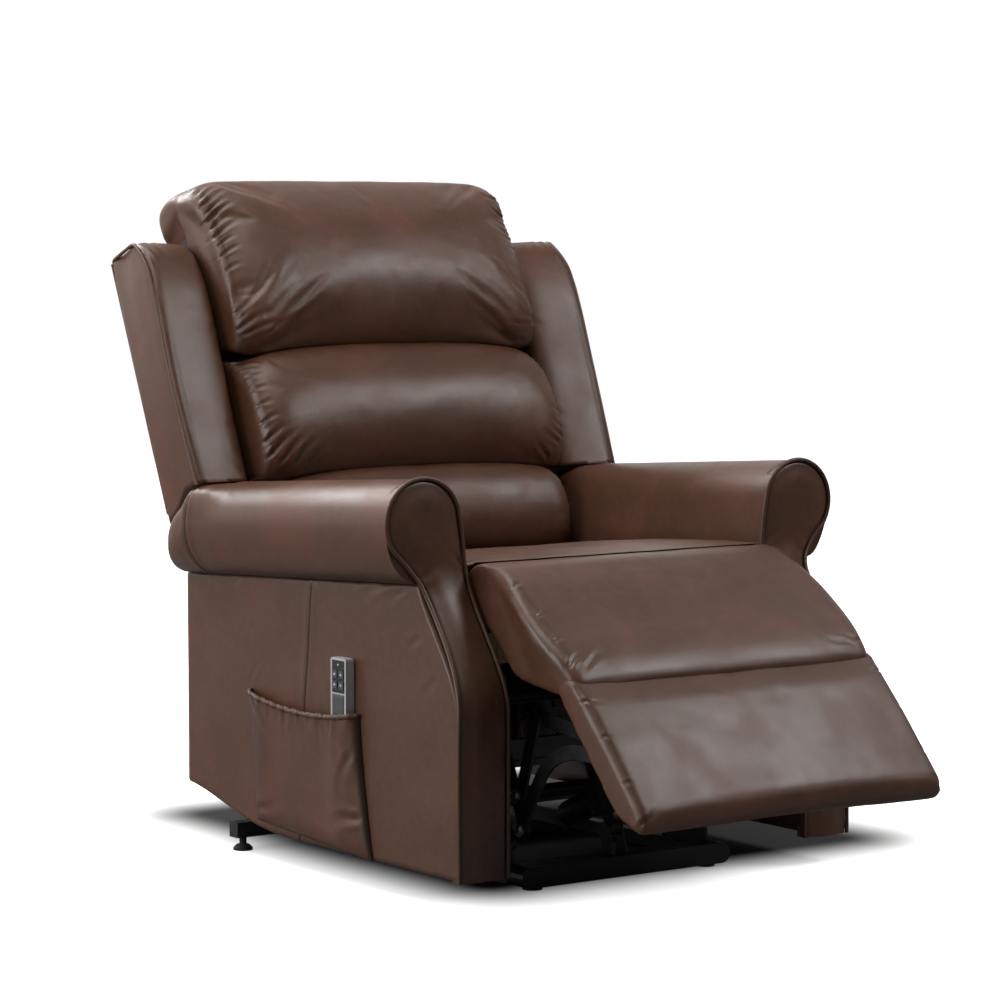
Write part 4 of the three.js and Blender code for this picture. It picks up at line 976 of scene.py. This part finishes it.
def end_folds(rows, half):
    """Folds at one end, repeated at the other end a little changed. Rows give a distance from the end and a height
    for both ends of the fold, its half width and its depth."""
    made = []
    spread = np.random.default_rng(7)
    for d0, b0, d1, b1, width, depth in rows:
        d0 = max(d0 - 8, 4)
        made.append(((-half + d0, b0), (-half + d1, b1), width, depth))
        k = spread.uniform(0.7, 1.1, 3)
        made.append(((half - d0, b0 - 9 * (k[0] - 0.9) * 5), (half - d1 * k[1], b1 - 6), width, depth * 0.75 * k[2]))
    return made


HEAD_FOLDS = end_folds(
    [
        (14, 706, 36, 722, 3.6, 3.4), (13, 692, 44, 712, 3.2, 3.0), (12, 678, 50, 702, 3.8, 4.2),
        (14, 663, 42, 682, 3.0, 2.8), (12, 648, 52, 676, 4.0, 4.4), (13, 632, 40, 650, 3.2, 3.2),
        (12, 615, 50, 638, 3.8, 4.0), (14, 598, 36, 611, 3.0, 2.6), (12, 578, 38, 592, 3.6, 2.6),
        (12, 550, 30, 560, 4.0, 1.8), (14, 448, 62, 470, 5.0, 3.0), (26, 438, 84, 448, 4.6, 2.4),
        (12, 474, 44, 496, 4.4, 2.4), (60, 434, 96, 456, 4.0, 1.6),
    ],
    306,
)
MIDDLE_FOLDS = end_folds(
    [
        (12, 402, 38, 390, 3.6, 2.6), (12, 386, 30, 380, 3.2, 2.0), (12, 366, 34, 362, 3.6, 2.4),
        (12, 340, 30, 340, 4, 1.8), (12, 310, 28, 314, 4, 2.0), (12, 280, 34, 290, 4, 2.4),
        (14, 250, 44, 272, 4.6, 3.2), (20, 228, 56, 262, 5, 3.8), (36, 216, 70, 252, 5, 3.6),
        (58, 210, 92, 246, 5, 3.0), (84, 208, 112, 234, 5, 2.0), (16, 412, 60, 402, 5, 2.0),
    ],
    306,
)
LUMBAR_FOLDS = end_folds(
    [(12, 186, 34, 172, 4, 2.0), (12, 150, 28, 146, 4, 1.6), (12, 110, 28, 112, 4, 1.6), (14, 70, 50, 90, 5, 2.2)], 284
)
SEAT_FOLDS = end_folds(
    [
        (12, 180, 44, 190, 6, 1.4), (12, 300, 50, 290, 6, 1.4), (12, 420, 44, 430, 6, 1.4),
        (16, 560, 60, 520, 6, 1.8),
    ],
    284,
)
CHAISE_FOLDS = end_folds(
    [
        (10, -134, 34, -122, 4, 2.2), (9, -96, 24, -92, 4, 1.2), (9, -52, 26, -48, 4, 1.4), (9, 6, 24, 10, 4, 1.2),
        (14, 70, 50, 54, 5, 1.6), (40, -140, 78, -124, 4.6, 1.4),
    ],
    283,
)
PAD_FOLDS = end_folds(
    [(9, 26, 30, 34, 4, 1.6), (8, 90, 20, 94, 4, 0.9), (8, 170, 20, 174, 4, 0.9), (10, 236, 34, 222, 5, 2.0)], 292
)


def vertices(made):
    co = np.zeros(len(made.data.vertices) * 3)
    made.data.vertices.foreach_get("co", co)
    return co.reshape(-1, 3)


def set_vertices(made, points):
    made.data.vertices.foreach_set("co", np.asarray(points, np.float32).ravel())
    made.data.update()


def drawing(points):
    """Frame points in drawing units."""
    return points * 1000 - (0, ORIGIN_Y, 0)


def back_place(points):
    """Drawing points as x, distance in front of the back's frame, and height along it."""
    c, s = math.cos(RECLINE), math.sin(RECLINE)
    y, z = points[:, 1] - BACK_PIVOT[0], points[:, 2] - BACK_PIVOT[1]
    return np.stack([points[:, 0], -(y * c - z * s), y * s + z * c], 1)


def pad_place(points):
    a = np.array([math.cos(PAD_ANGLE), math.sin(PAD_ANGLE)])
    o = np.array([a[1], -a[0]])
    flat = points[:, 1:] - PAD_PIVOT
    return np.stack([points[:, 0], flat @ o, flat @ a], 1)


def side_place(points):
    return np.stack([points[:, 0], points[:, 2], points[:, 1]], 1)


def press_folds(made, place, folds, strength, shown, front, seams=(), quilt=0.6):
    """Presses folds into a cushion along its own normals, where its surface shows, and paints shade into the folds and
    along the seams.
    """
    co = vertices(made)
    normal = np.zeros(len(co) * 3)
    made.data.vertices.foreach_get("normal", normal)
    normal = normal.reshape(-1, 3)
    local = place(drawing(co))
    facing = smoothstep(-0.15, 0.25, shown(local, normal))
    on_face = 0.22 + 0.78 * smoothstep(0.05, 0.6, normal @ np.array(front))
    lift = fold_depth(local[:, 0], local[:, 2], folds) * strength * on_face
    across, up = local[:, 0], local[:, 2]
    lift += quilt * (value_noise(across / 60, up / 55, 11) + 0.5 * value_noise(across / 24, up / 27, 12))
    set_vertices(made, co + normal * (lift * facing / 1000)[:, None])
    # Painted shade: the sunken folds and the seams' lines are darkened.
    painted_shade = 1 - 0.14 * np.clip(-lift, 0, 3) * facing
    for place_of, width, depth in seams:
        painted_shade = painted_shade * (1 - depth * np.exp(-((place_of(local) / width) ** 2)))
    shade = made.data.attributes.get("painted_shade") or made.data.attributes.new("painted_shade", "FLOAT", "POINT")
    shade.data.foreach_set("value", np.clip(painted_shade, 0.15, 1).astype(np.float32))
    return made


def remeshed(made, voxel):
    """The same object as an even net of quads."""
    change = made.modifiers.new("Even net", "REMESH")
    change.mode = "VOXEL"
    change.voxel_size = voxel
    change.use_smooth_shade = True
    graph = bpy.context.evaluated_depsgraph_get()
    mesh = bpy.data.meshes.new_from_object(made.evaluated_get(graph))
    made.modifiers.clear()
    stuff = list(made.data.materials)
    made.data = mesh
    made.data.materials.clear()
    for each in stuff:
        made.data.materials.append(each)
    return made


def stuffed(made, cap, held, pressure=4.0, voxel=0.0055):
    """Blows the cover up like a stuffed one, by cloth simulation, and keeps the result."""
    remeshed(made, voxel)
    rest = vertices(made)
    pins = made.vertex_groups.new(name="held")
    weight = np.clip(held(drawing(rest)), 0, 1)
    for level in (0.35, 0.7, 1.0):
        chosen = np.nonzero((weight > level - 0.35) & (weight <= level))[0]
        pins.add([int(i) for i in chosen], level, "REPLACE")
    cloth = made.modifiers.new("Cover", "CLOTH")
    cloth.settings.quality = 4
    cloth.settings.mass = 0.4
    cloth.settings.tension_stiffness = 18
    cloth.settings.compression_stiffness = 14
    cloth.settings.shear_stiffness = 8
    cloth.settings.bending_stiffness = 1.5
    cloth.settings.use_pressure = True
    cloth.settings.uniform_pressure_force = pressure
    cloth.settings.vertex_group_mass = "held"
    cloth.settings.effector_weights.gravity = 0
    cloth.collision_settings.use_collision = False
    cloth.point_cache.frame_start, cloth.point_cache.frame_end = 1, 20
    scene = bpy.context.scene
    for step in range(1, 21):
        scene.frame_set(step)
    graph = bpy.context.evaluated_depsgraph_get()
    blown = np.zeros(len(rest) * 3)
    made.evaluated_get(graph).data.vertices.foreach_get("co", blown)
    move = blown.reshape(-1, 3) - rest
    far = np.linalg.norm(move, axis=1)
    move *= np.minimum(1, cap / np.maximum(far, 1e-9))[:, None]
    made.modifiers.clear()
    made.vertex_groups.clear()
    scene.frame_set(1)
    set_vertices(made, rest + move)
    made.data.polygons.foreach_set("use_smooth", [True] * len(made.data.polygons))
    return made


def relaxed(made, rounds, factor=0.5):
    """Evens out a mesh's steps, keeping its form."""
    change = made.modifiers.new("Even", "SMOOTH")
    change.iterations, change.factor = rounds, factor
    graph = bpy.context.evaluated_depsgraph_get()
    points = np.zeros(len(made.data.vertices) * 3)
    made.evaluated_get(graph).data.vertices.foreach_get("co", points)
    made.modifiers.clear()
    set_vertices(made, points.reshape(-1, 3))
    return made


def refined(made):
    change = made.modifiers.new("Fine", "SUBSURF")
    change.levels = change.render_levels = 1
    graph = bpy.context.evaluated_depsgraph_get()
    mesh = bpy.data.meshes.new_from_object(made.evaluated_get(graph))
    made.modifiers.clear()
    made.data = mesh
    mesh.polygons.foreach_set("use_smooth", [True] * len(mesh.polygons))
    return made


# ------------------------------------------------------------------ pocket

POCKET_FRONT = through([(40, 230), (70, 236), (150, 250), (230, 261), (280, 265)])
POCKET_REAR = through([(40, 559), (70, 561), (150, 568), (230, 576), (280, 579)])


def pocket_top(y):
    share = np.clip((np.asarray(y, float) - 264) / 315, 0, 1)
    return 268 + 7 * share - 15.5 * np.sin(math.pi * share) ** 0.9


def pocket_foot(y):
    return 47 + 20 * np.clip((np.asarray(y, float) - 230) / 330, 0, 1)


def pocket_grid():
    s, t = np.meshgrid(np.linspace(0, 1, 120), np.linspace(0, 1, 74), indexing="ij")
    y = 264 + s * 315
    for _ in range(3):
        z = pocket_foot(y) + t * (pocket_top(y) - pocket_foot(y))
        y = POCKET_FRONT(z) + s * (POCKET_REAR(z) - POCKET_FRONT(z))
    side = np.minimum(1, np.minimum(s / 0.09, (1 - s) / 0.16))
    bag = (1 - (1 - side) ** 2) ** 0.5
    low = np.clip(t / 0.16, 0, 1)
    bag = bag * (1 - (1 - low) ** 2) ** 0.5
    over_handset = np.exp(-(((y - 302) / 34) ** 2))
    rest = 10.5 + 7.0 * over_handset
    depth = 2.6 + bag * (rest + 6.0 * t)
    gathers = np.sin(y / 315 * 2 * math.pi * 13 + 2.2 * value_noise(y / 40, z * 0, 21))
    depth += 1.5 * gathers * smoothstep(0.86, 1.0, t) * smoothstep(0, 0.06, s) * smoothstep(0, 0.06, 1 - s)
    folds = [
        ((560, 262), (500, 210), 8, 2.4), ((400, 256), (388, 196), 7, 2.0), ((456, 258), (450, 206), 6, 1.8),
        ((352, 256), (350, 190), 7, 1.8), ((300, 258), (286, 180), 8, 2.6), ((276, 200), (300, 120), 9, 2.2),
        ((262, 110), (330, 92), 9, 2.2), ((540, 90), (470, 110), 9, 1.8),
    ]
    depth += fold_depth(y, z, folds) + 0.7 * value_noise(y / 60, z / 60, 22) * side
    return s, t, y, z, np.maximum(depth, 1.2)


def pocket():
    s, t, y, z, depth = pocket_grid()
    edge = np.minimum(s, 1 - s)
    # Painted shade: darkest along its sewn sides and its foot, and darker towards its rear end.
    painted_shade = (0.2 + 0.8 * smoothstep(0, 0.028, edge)) * (0.72 + 0.28 * smoothstep(0, 0.3, 1 - s))
    painted_shade = painted_shade * (0.6 + 0.4 * smoothstep(0, 0.05, t))
    grid = np.stack([ARM_OUTER + depth, y, z], -1)
    return slab(grid, (-1, 0, 0), 1.6, painted_shade)


def pocket_hem():
    s, t, y, z, depth = pocket_grid()
    line = np.stack([ARM_OUTER + depth[:, -1] - 0.6, y[:, -1], z[:, -1] + 0.8], 1)
    line = spaced(line, 220)
    ruffle = 1.0 + 0.1 * np.sin(np.linspace(0, 2 * math.pi * 23, 220))
    ruffle += 0.2 * value_noise(np.linspace(0, 30, 220), np.zeros(220), 4)
    return line, 4.3 * ruffle * smoothstep(-0.02, 0.03, np.minimum(np.linspace(0, 1, 220), np.linspace(1, 0, 220)))


# ------------------------------------------------------------------ metal and plastic details


def hexagon_bolt(centre, outward, size, head, washer):
    """A hexagon head on its washer, standing out along x (1 or -1)."""
    a = np.radians(np.arange(0, 360, 60) + 17)
    flat = np.stack([np.zeros(6), np.cos(a), np.sin(a)], 1)
    steps = ((1, washer), (1, head * 0.86 + washer), (0.86, head + washer))
    rings = [flat * size * k + (outward * x, 0, 0) for k, x in steps]
    b = np.linspace(0, 2 * math.pi, 24, endpoint=False)
    disc = np.stack([np.zeros(24), np.cos(b), np.sin(b)], 1)
    under = [disc * size * k + (outward * x, 0, 0) for k, x in ((1.5, 0), (1.5, washer * 0.7), (1.38, washer))]
    points, faces = combine(loft(np.array(rings)), loft(np.array(under)))
    return points + centre, faces


def pad_shape(y, z, width, height, low, high, corner=2.4):
    """A small rounded key or plate lying in the side face, from x low to x high."""
    a, b = width / 2 - corner, height / 2 - corner
    corners = ((y + a, z + b, 0), (y - a, z + b, 90), (y - a, z - b, 180), (y + a, z - b, 270))
    line = np.vstack([arc((cy, cz), corner, turn, turn + 90, 6) for cy, cz, turn in corners])
    middle = np.array([y, z])
    rings = []
    for shrink, x in ((1.0, low), (1.0, high - 0.5), (0.94, high), (0.6, high + 0.15)):
        ring = middle + (line - middle) * shrink
        rings.append(np.column_stack([np.full(len(ring), x), ring]))
    return loft(np.array(rings))


def arrow(y, z, size, up, x):
    """A raised triangle, as printed on a key."""
    k = 1 if up else -1
    flat = np.array([(y - size, z - k * size * 0.6), (y + size, z - k * size * 0.6), (y, z + k * size * 0.8)])
    return loft(np.array([np.column_stack([np.full(3, v), flat]) for v in (x, x + 0.25)]))


# Each bolt that shows: name, the body that it turns with, and the middle of its seat.
PIVOT_BOLTS = (
    ("drive_bolt", "carriage", (236.2, 139.7, 325.9)),
    ("elbow_bolt", "drive_links", (245.2, 41.3, 108.9)),
    ("cross_bolt", "drive_links", (236.0, 62.8, 156.4)),
)
HANDSET_Y, HANDSET_FACE = 301.0, 399.2
BUTTON_MARKS = (
    ("back_up", -8.5, 330.0, True),
    ("back_down", -8.5, 313.0, False),
    ("feet_up", 8.5, 330.0, True),
    ("feet_down", 8.5, 313.0, False),
)


# ------------------------------------------------------------------ stage


def make_stage(stage):
    target = Vector(to_frame(CAMERA_TARGET)[0])
    a, e = stage.azimuth, stage.elevation
    back = Vector((math.sin(a) * math.cos(e), -math.cos(a) * math.cos(e), math.sin(e)))
    data = bpy.data.cameras.new("Camera")
    data.lens, data.sensor_width, data.clip_end = stage.lens, 36, 60
    camera = aimed("Camera", data, target + back * stage.distance, -back)
    bpy.context.scene.camera = camera

    corners = [(x * FLOOR_HALF, y * FLOOR_HALF, 0) for x, y in ((-1, -1), (1, -1), (1, 1), (-1, 1))]
    new_object("floor", corners, [(0, 1, 2, 3)], floor_material())

    world = bpy.data.worlds.new("Studio")
    world.use_nodes = True
    tree = world.node_tree
    around = node(tree, "ShaderNodeTexCoord").outputs["Generated"]
    rearwards = node(tree, "ShaderNodeSeparateXYZ", {0: around}).outputs["Y"]
    strength = calc(tree, "MULTIPLY", ranged(tree, rearwards, -0.2, 0.75, 0.12, 0.95, "SMOOTHSTEP"), stage.light)
    lit = node(tree, "ShaderNodeBackground", {"Color": (1.0, 0.985, 0.96, 1), "Strength": strength})
    shown = feed(tree, tree.nodes["Background"], {"Color": (1, 1, 1, 1)})
    seen = node(tree, "ShaderNodeLightPath").outputs["Is Camera Ray"]
    either = node(tree, "ShaderNodeMixShader", {0: seen, 1: lit.outputs[0], 2: shown.outputs[0]})
    feed(tree, tree.nodes["World Output"], {"Surface": either.outputs[0]})
    bpy.context.scene.world = world
    bpy.context.scene.view_settings.view_transform = "Standard"

    for name, place, at, size, power in LAMPS:
        light = bpy.data.lights.new(name, "AREA")
        light.shape = "RECTANGLE"
        light.size, light.size_y = size
        light.energy = power * stage.light
        aimed(name, light, Vector(place), Vector(at) - Vector(place))


def aimed(name, data, place, ahead):
    """A camera or a lamp at a place, turned to look ahead."""
    made = bpy.data.objects.new(name, data)
    made.rotation_mode = "QUATERNION"
    made.location = place
    made.rotation_quaternion = ahead.to_track_quat("-Z", "Y")
    bpy.context.scene.collection.objects.link(made)
    return made


CAMERA_TARGET = np.array([-87.5, 300.0, 580.4])
FLOOR_HALF = 9000
# Name, place, what it points at, size and power.
LAMPS = (
    ("Overhead", (-0.7, 0.3, 3.2), (0, 0.1, 0.6), (2.4, 1.6), 46),
    ("Right front", (1.95, -1.9, 2.95), (0, 0, 0.7), (1.7, 0.4), 55),
    ("Left fill", (-3.3, 0.5, 1.6), (0, 0, 0.6), (1.8, 1.8), 58),
    ("Rear left", (-0.95, 2.6, 2.5), (-0.35, 0.1, 0.6), (1.5, 0.8), 60),
)


# The floor's painted shadow under the chair: its middle, its half size and how far beyond that it fades, in metres.
SHADE_MIDDLE, SHADE_HALF, SHADE_FADE = (0.15, 0.25, 0.0), (0.35, 0.4, 0.0), (0.02, 0.24)


def floor_material():
    """A pale matt floor that the camera sees whiter the farther it lies from the chair, with a painted shadow: under
    and behind the chair its colour for the camera falls to near black.
    """

    def build(tree):
        seen = node(tree, "ShaderNodeLightPath").outputs["Is Camera Ray"]
        patches = effect(tree, "Uneven finish", {"Scale": 3.0})["Patches"]
        pale = mixed(tree, patches, (0.86, 0.86, 0.86, 1), (0.9, 0.9, 0.9, 1))
        place = on_piece(tree)
        nought = (0, 0, 0)
        steps = (("SUBTRACT", SHADE_MIDDLE), ("ABSOLUTE", nought), ("SUBTRACT", SHADE_HALF), ("MAXIMUM", nought))
        for operation, by in steps:
            place = node(tree, "ShaderNodeVectorMath", {0: place, 1: by}, operation=operation).outputs["Vector"]
        far = node(tree, "ShaderNodeVectorMath", {0: place}, operation="LENGTH").outputs["Value"]
        outside_painted_shadow = ranged(tree, far, *SHADE_FADE, kind="SMOOTHSTEP")
        # Painted shadow: for the camera the floor's colour falls to near black in the zone under and behind the chair.
        shown = mixed(tree, outside_painted_shadow, (0.06, 0.06, 0.06, 1), pale)
        return {
            "Base Color": mixed(tree, seen, (0.2, 0.2, 0.2, 1), shown),
            "Roughness": 0.9,
            "Specular IOR Level": 0.0,
            "Emission Color": (1, 1, 1, 1),
            "Emission Strength": calc(tree, "MULTIPLY", outside_painted_shadow, seen),
        }

    return material("Floor", build)


# ------------------------------------------------------------------ building the pieces


def put(made, body, nodes=()):
    """Hangs a piece on the body that it rides on, and hides the solids that it stands for."""
    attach(made, body)
    if nodes:
        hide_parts(*nodes)
    return made


def mirrored_pair(name, shape, body, nodes, look):
    for side, mirrored in SIDES:
        points, faces, painted_shade = shape
        made = face_out(new_object(f"{name}_{side}", points, faces, look, painted_shade, mirrored))
        put(made, body, [f"{n}_{side}" for n in nodes])


class CHAIR_OT_arms(bpy.types.Operator):
    """Covers both arms: padded fronts with piping, rolls, and side panels."""

    bl_idname = "chair.arms"
    bl_label = "Arms"

    def execute(self, context):
        look = context.scene.chair_upholstery
        skin = leather()
        seam = leather("Piping leather", 0.92, 0.4)
        mirrored_pair("arm_facing", arm_facing(look), "carriage", ["arm_front"], skin)
        mirrored_pair("arm_roll_cover", arm_roll(), "carriage", ["arm_roll"], skin)
        mirrored_pair("side_panel", outer_panel(), "carriage", ["arm_outer_panel"], skin)
        mirrored_pair("inner_side_panel", inner_panel(), "carriage", ["arm_inner_panel"], skin)
        mirrored_pair("rear_corner", rear_corner(), "carriage", (), skin)
        for side, mirrored in SIDES:
            piping = tube_object(f"arm_piping_{side}", facing_piping(), look.piping * 1000, seam, mirrored)
            put(piping, "carriage")
        return {"FINISHED"}


class CHAIR_OT_wings(bpy.types.Operator):
    """Covers both wings of the back, with their piping."""

    bl_idname = "chair.wings"
    bl_label = "Wings"

    def execute(self, context):
        skin = leather()
        seam = leather("Piping leather", 0.92, 0.4)
        mirrored_pair("wing_cover", wing(), "back", ["wing"], skin)
        for side, mirrored in SIDES:
            put(tube_object(f"wing_piping_{side}", wing_piping(), 3.0, seam, mirrored), "back")
            put(tube_object(f"wing_rear_piping_{side}", wing_rear_seam(), 2.2, seam, mirrored), "back")
        points, faces = back_liner()
        # The liner's leather is darkened to three tenths as painted shade in the gaps.
        put(face_out(new_object("back_liner", points, faces, leather("Liner leather in painted shade", 0.3, 0.6))), "back")
        points, faces, painted_shade = rear_shell()
        put(face_out(new_object("back_cover", points, faces, skin, painted_shade)), "back", ["rear_shell"])
        return {"FINISHED"}


class CHAIR_OT_apron(bpy.types.Operator):
    """Covers the rear apron between the arms."""

    bl_idname = "chair.apron"
    bl_label = "Rear apron"

    def execute(self, context):
        points, faces, painted_shade = rear_apron()
        put(face_out(new_object("apron_cover", points, faces, leather(), painted_shade)), "carriage", ["rear_apron"])
        return {"FINISHED"}


# Every cushion: name, solid, body, profile, half width, end radius, arch, folds, place of its points, pillow cap.
def cushion_list():
    return (
        (
            "head_cover", "head_cushion", "back", head_profile(),
            306, (60, 36), back_arch(22), HEAD_FOLDS, back_place, 0.014,
        ),
        (
            "middle_cover", "middle_cushion", "back", middle_profile(),
            306, (60, 34), back_arch(22), MIDDLE_FOLDS, back_place, 0.012,
        ),
        (
            "lumbar_cover", "lumbar_cushion", "back", lumbar_profile(),
            284, (40, 28), back_arch(16), LUMBAR_FOLDS, back_place, 0.012,
        ),
        ("seat_cover", "seat_cushion", "carriage", seat_profile(), 284, (20, 20), None, SEAT_FOLDS, side_place, 0.010),
        (
            "chaise_cover", "chaise_pad", "chaise", chaise_profile(),
            283, (15, 15), None, CHAISE_FOLDS, side_place, 0.008,
        ),
        ("pad_cover", "footrest_pad", "footrest", pad_profile(), 292, (14, 14), pad_arch, PAD_FOLDS, pad_place, 0.008),
    )


# The way that each body's cushions face.
FRONTS = {
    "back": (0, -math.cos(RECLINE), math.sin(RECLINE)),
    "carriage": (0, 0, 1),
    "chaise": (0, -0.65, 0.76),
    "footrest": (0, math.sin(PAD_ANGLE), -math.cos(PAD_ANGLE)),
}


def shown_side(name):
    """Where a cushion's folds show: not on the faces that lie on its frame."""
    if name in ("seat_cover", "chaise_cover"):
        return lambda local, normal: normal[:, 2] * 1.2 + np.abs(normal[:, 0])
    if name == "pad_cover":
        return lambda local, normal: (local[:, 1] + 6) / 20
    return lambda local, normal: (local[:, 1] - 8) / 20 + (local[:, 2] > 640)


def make_cushion(row, look):
    name, solid, body, profile, half, end, arch, folds, place, cap = row
    rings = cushion_rings(profile, half, end, arch)
    if name == "head_cover":
        rings = head_ears(rings)
    if name == "chaise_cover":
        rings = chaise_ends(rings)
    if body == "back":
        rings = on_back(rings)
    points, faces = loft(rings)
    made = face_out(new_object(name, points, faces, leather()))
    shown = shown_side(name)
    stuffed(made, cap, lambda p: 1 - smoothstep(6, 60, np.maximum(0, shown(place(p), np.zeros_like(p)) * 20)))
    relaxed(made, 3)
    refined(made)
    # Painted shade along the seam 10 mm in from each end.
    seams = [(lambda p: half - np.abs(p[:, 0]) - 10, 2.2, 0.35)]
    press_folds(made, place, folds, look.wrinkles, shown, FRONTS[body], seams)
    return put(made, body, [solid])


class CHAIR_OT_cushions(bpy.types.Operator):
    """Stuffs the seat, the three cushions of the back, and both pads of the footrest."""

    bl_idname = "chair.cushions"
    bl_label = "Cushions"

    def execute(self, context):
        look = context.scene.chair_upholstery
        for row in cushion_list():
            make_cushion(row, look)
        return {"FINISHED"}


class CHAIR_OT_pocket(bpy.types.Operator):
    """Sews the pocket on the sitter's right side panel."""

    bl_idname = "chair.pocket"
    bl_label = "Side pocket"

    def execute(self, context):
        points, faces, painted_shade = pocket()
        put(face_out(new_object("pocket_cover", points, faces, leather(), painted_shade, True)), "carriage", ["side_pocket"])
        line, radius = pocket_hem()
        put(tube_object("pocket_hem", line, radius, leather("Hem leather", 0.9, 0.55), True, 12), "carriage")
        return {"FINISHED"}


class CHAIR_OT_metal(bpy.types.Operator):
    """Finishes the mechanism, the motors, the timber frame and the feet."""

    bl_idname = "chair.metal"
    bl_label = "Mechanism"

    def execute(self, context):
        finishes = {
            "black_steel": steel("Black steel", (0.012, 0.012, 0.013), 0.38, 0.0),
            "timber": timber(),
            "black_plastic": plastic("Black plastic", (0.012, 0.012, 0.013), 0.5),
            "grey_plastic": plastic("Grey plastic", (0.05, 0.053, 0.058), 0.46),
            "silver_plastic": plastic("Silver plastic", (0.42, 0.43, 0.44), 0.34, 0.1),
            "rod_steel": steel("Rod steel", (0.45, 0.46, 0.48), 0.3, 1.0, 20.0),
            "rubber": plastic("Rubber", (0.01, 0.01, 0.01), 0.75),
        }
        for row in frame["record"]["subparts"]:
            look = finishes.get(row["material_slot"])
            if look is None:
                continue
            solid = frame["nodes"][row["node"]]
            solid = bpy.data.objects[solid] if isinstance(solid, str) else solid
            solid.data.materials.clear()
            solid.data.materials.append(look)
        return {"FINISHED"}


class CHAIR_OT_fittings(bpy.types.Operator):
    """Adds the bolts at the pivots that show, and the handset's plate, lamp and marks."""

    bl_idname = "chair.fittings"
    bl_label = "Fittings"

    def execute(self, context):
        zinc = steel("Zinc", (0.5, 0.51, 0.52), 0.32, 1.0, 30.0)
        for name, body, place in PIVOT_BOLTS:
            for side, mirrored in SIDES:
                points, faces = hexagon_bolt(np.array(place), 1, 7.5, 3.6, 1.2)
                bolt = new_object(f"{name}_{side}", points, faces, zinc, None, mirrored, False)
                put(face_out(bolt), body)
        grey = plastic("Key plate", (0.052, 0.057, 0.056), 0.5)
        pale = plastic("Printed mark", (0.5, 0.5, 0.5), 0.6, 0.0)
        y, face = HANDSET_Y, HANDSET_FACE
        points, faces = pad_shape(y, 281.0, 33.0, 36.0, face - 0.4, face + 0.9)
        put(face_out(new_object("handset_plate", points, faces, grey, None, True)), "handset")
        points, faces = pad_shape(y, 344.5, 3.4, 3.4, face - 0.2, face + 0.7, 1.5)
        put(face_out(new_object("handset_lamp", points, faces, pale, None, True)), "handset")
        for part, row_y, z, up in BUTTON_MARKS:
            points, faces = arrow(y + row_y, z, 3.0, up, face + 1.35)
            mark = new_object(f"mark_{part}", points, faces, pale, None, True, False)
            put(face_out(mark), f"button_{part}")
        return {"FINISHED"}


class CHAIR_OT_stage(bpy.types.Operator):
    """Sets the camera, the floor and the light of a studio."""

    bl_idname = "chair.stage"
    bl_label = "Stage"

    def execute(self, context):
        make_stage(context.scene.chair_stage)
        return {"FINISHED"}


class CHAIR_PT_panel(bpy.types.Panel):
    """The chair's settings and steps."""

    bl_idname = "CHAIR_PT_panel"
    bl_label = "Lift recliner chair"
    bl_space_type = "VIEW_3D"
    bl_region_type = "UI"
    bl_category = "Chair"

    def draw(self, context):
        scene = context.scene
        for settings in (scene.chair_leather, scene.chair_upholstery, scene.chair_stage):
            box = self.layout.box()
            for name in settings.__annotations__:
                box.prop(settings, name)
        for step in STEPS:
            self.layout.operator(step.bl_idname)


SETTINGS = (
    ("chair_leather", CHAIR_PG_leather),
    ("chair_upholstery", CHAIR_PG_upholstery),
    ("chair_stage", CHAIR_PG_stage),
)
STEPS = (
    CHAIR_OT_stage,
    CHAIR_OT_arms,
    CHAIR_OT_wings,
    CHAIR_OT_apron,
    CHAIR_OT_cushions,
    CHAIR_OT_pocket,
    CHAIR_OT_metal,
    CHAIR_OT_fittings,
)


def register():
    for name, kind in SETTINGS:
        bpy.utils.register_class(kind)
        setattr(bpy.types.Scene, name, bpy.props.PointerProperty(type=kind))
    for kind in (*STEPS, CHAIR_PT_panel):
        bpy.utils.register_class(kind)


def unregister():
    for kind in (CHAIR_PT_panel, *reversed(STEPS)):
        bpy.utils.unregister_class(kind)
    for name, kind in reversed(SETTINGS):
        delattr(bpy.types.Scene, name)
        bpy.utils.unregister_class(kind)


def main():
    register()
    for step in STEPS:
        area, name = step.bl_idname.split(".")
        getattr(getattr(bpy.ops, area), name)()


if __name__ == "__main__":
    main()
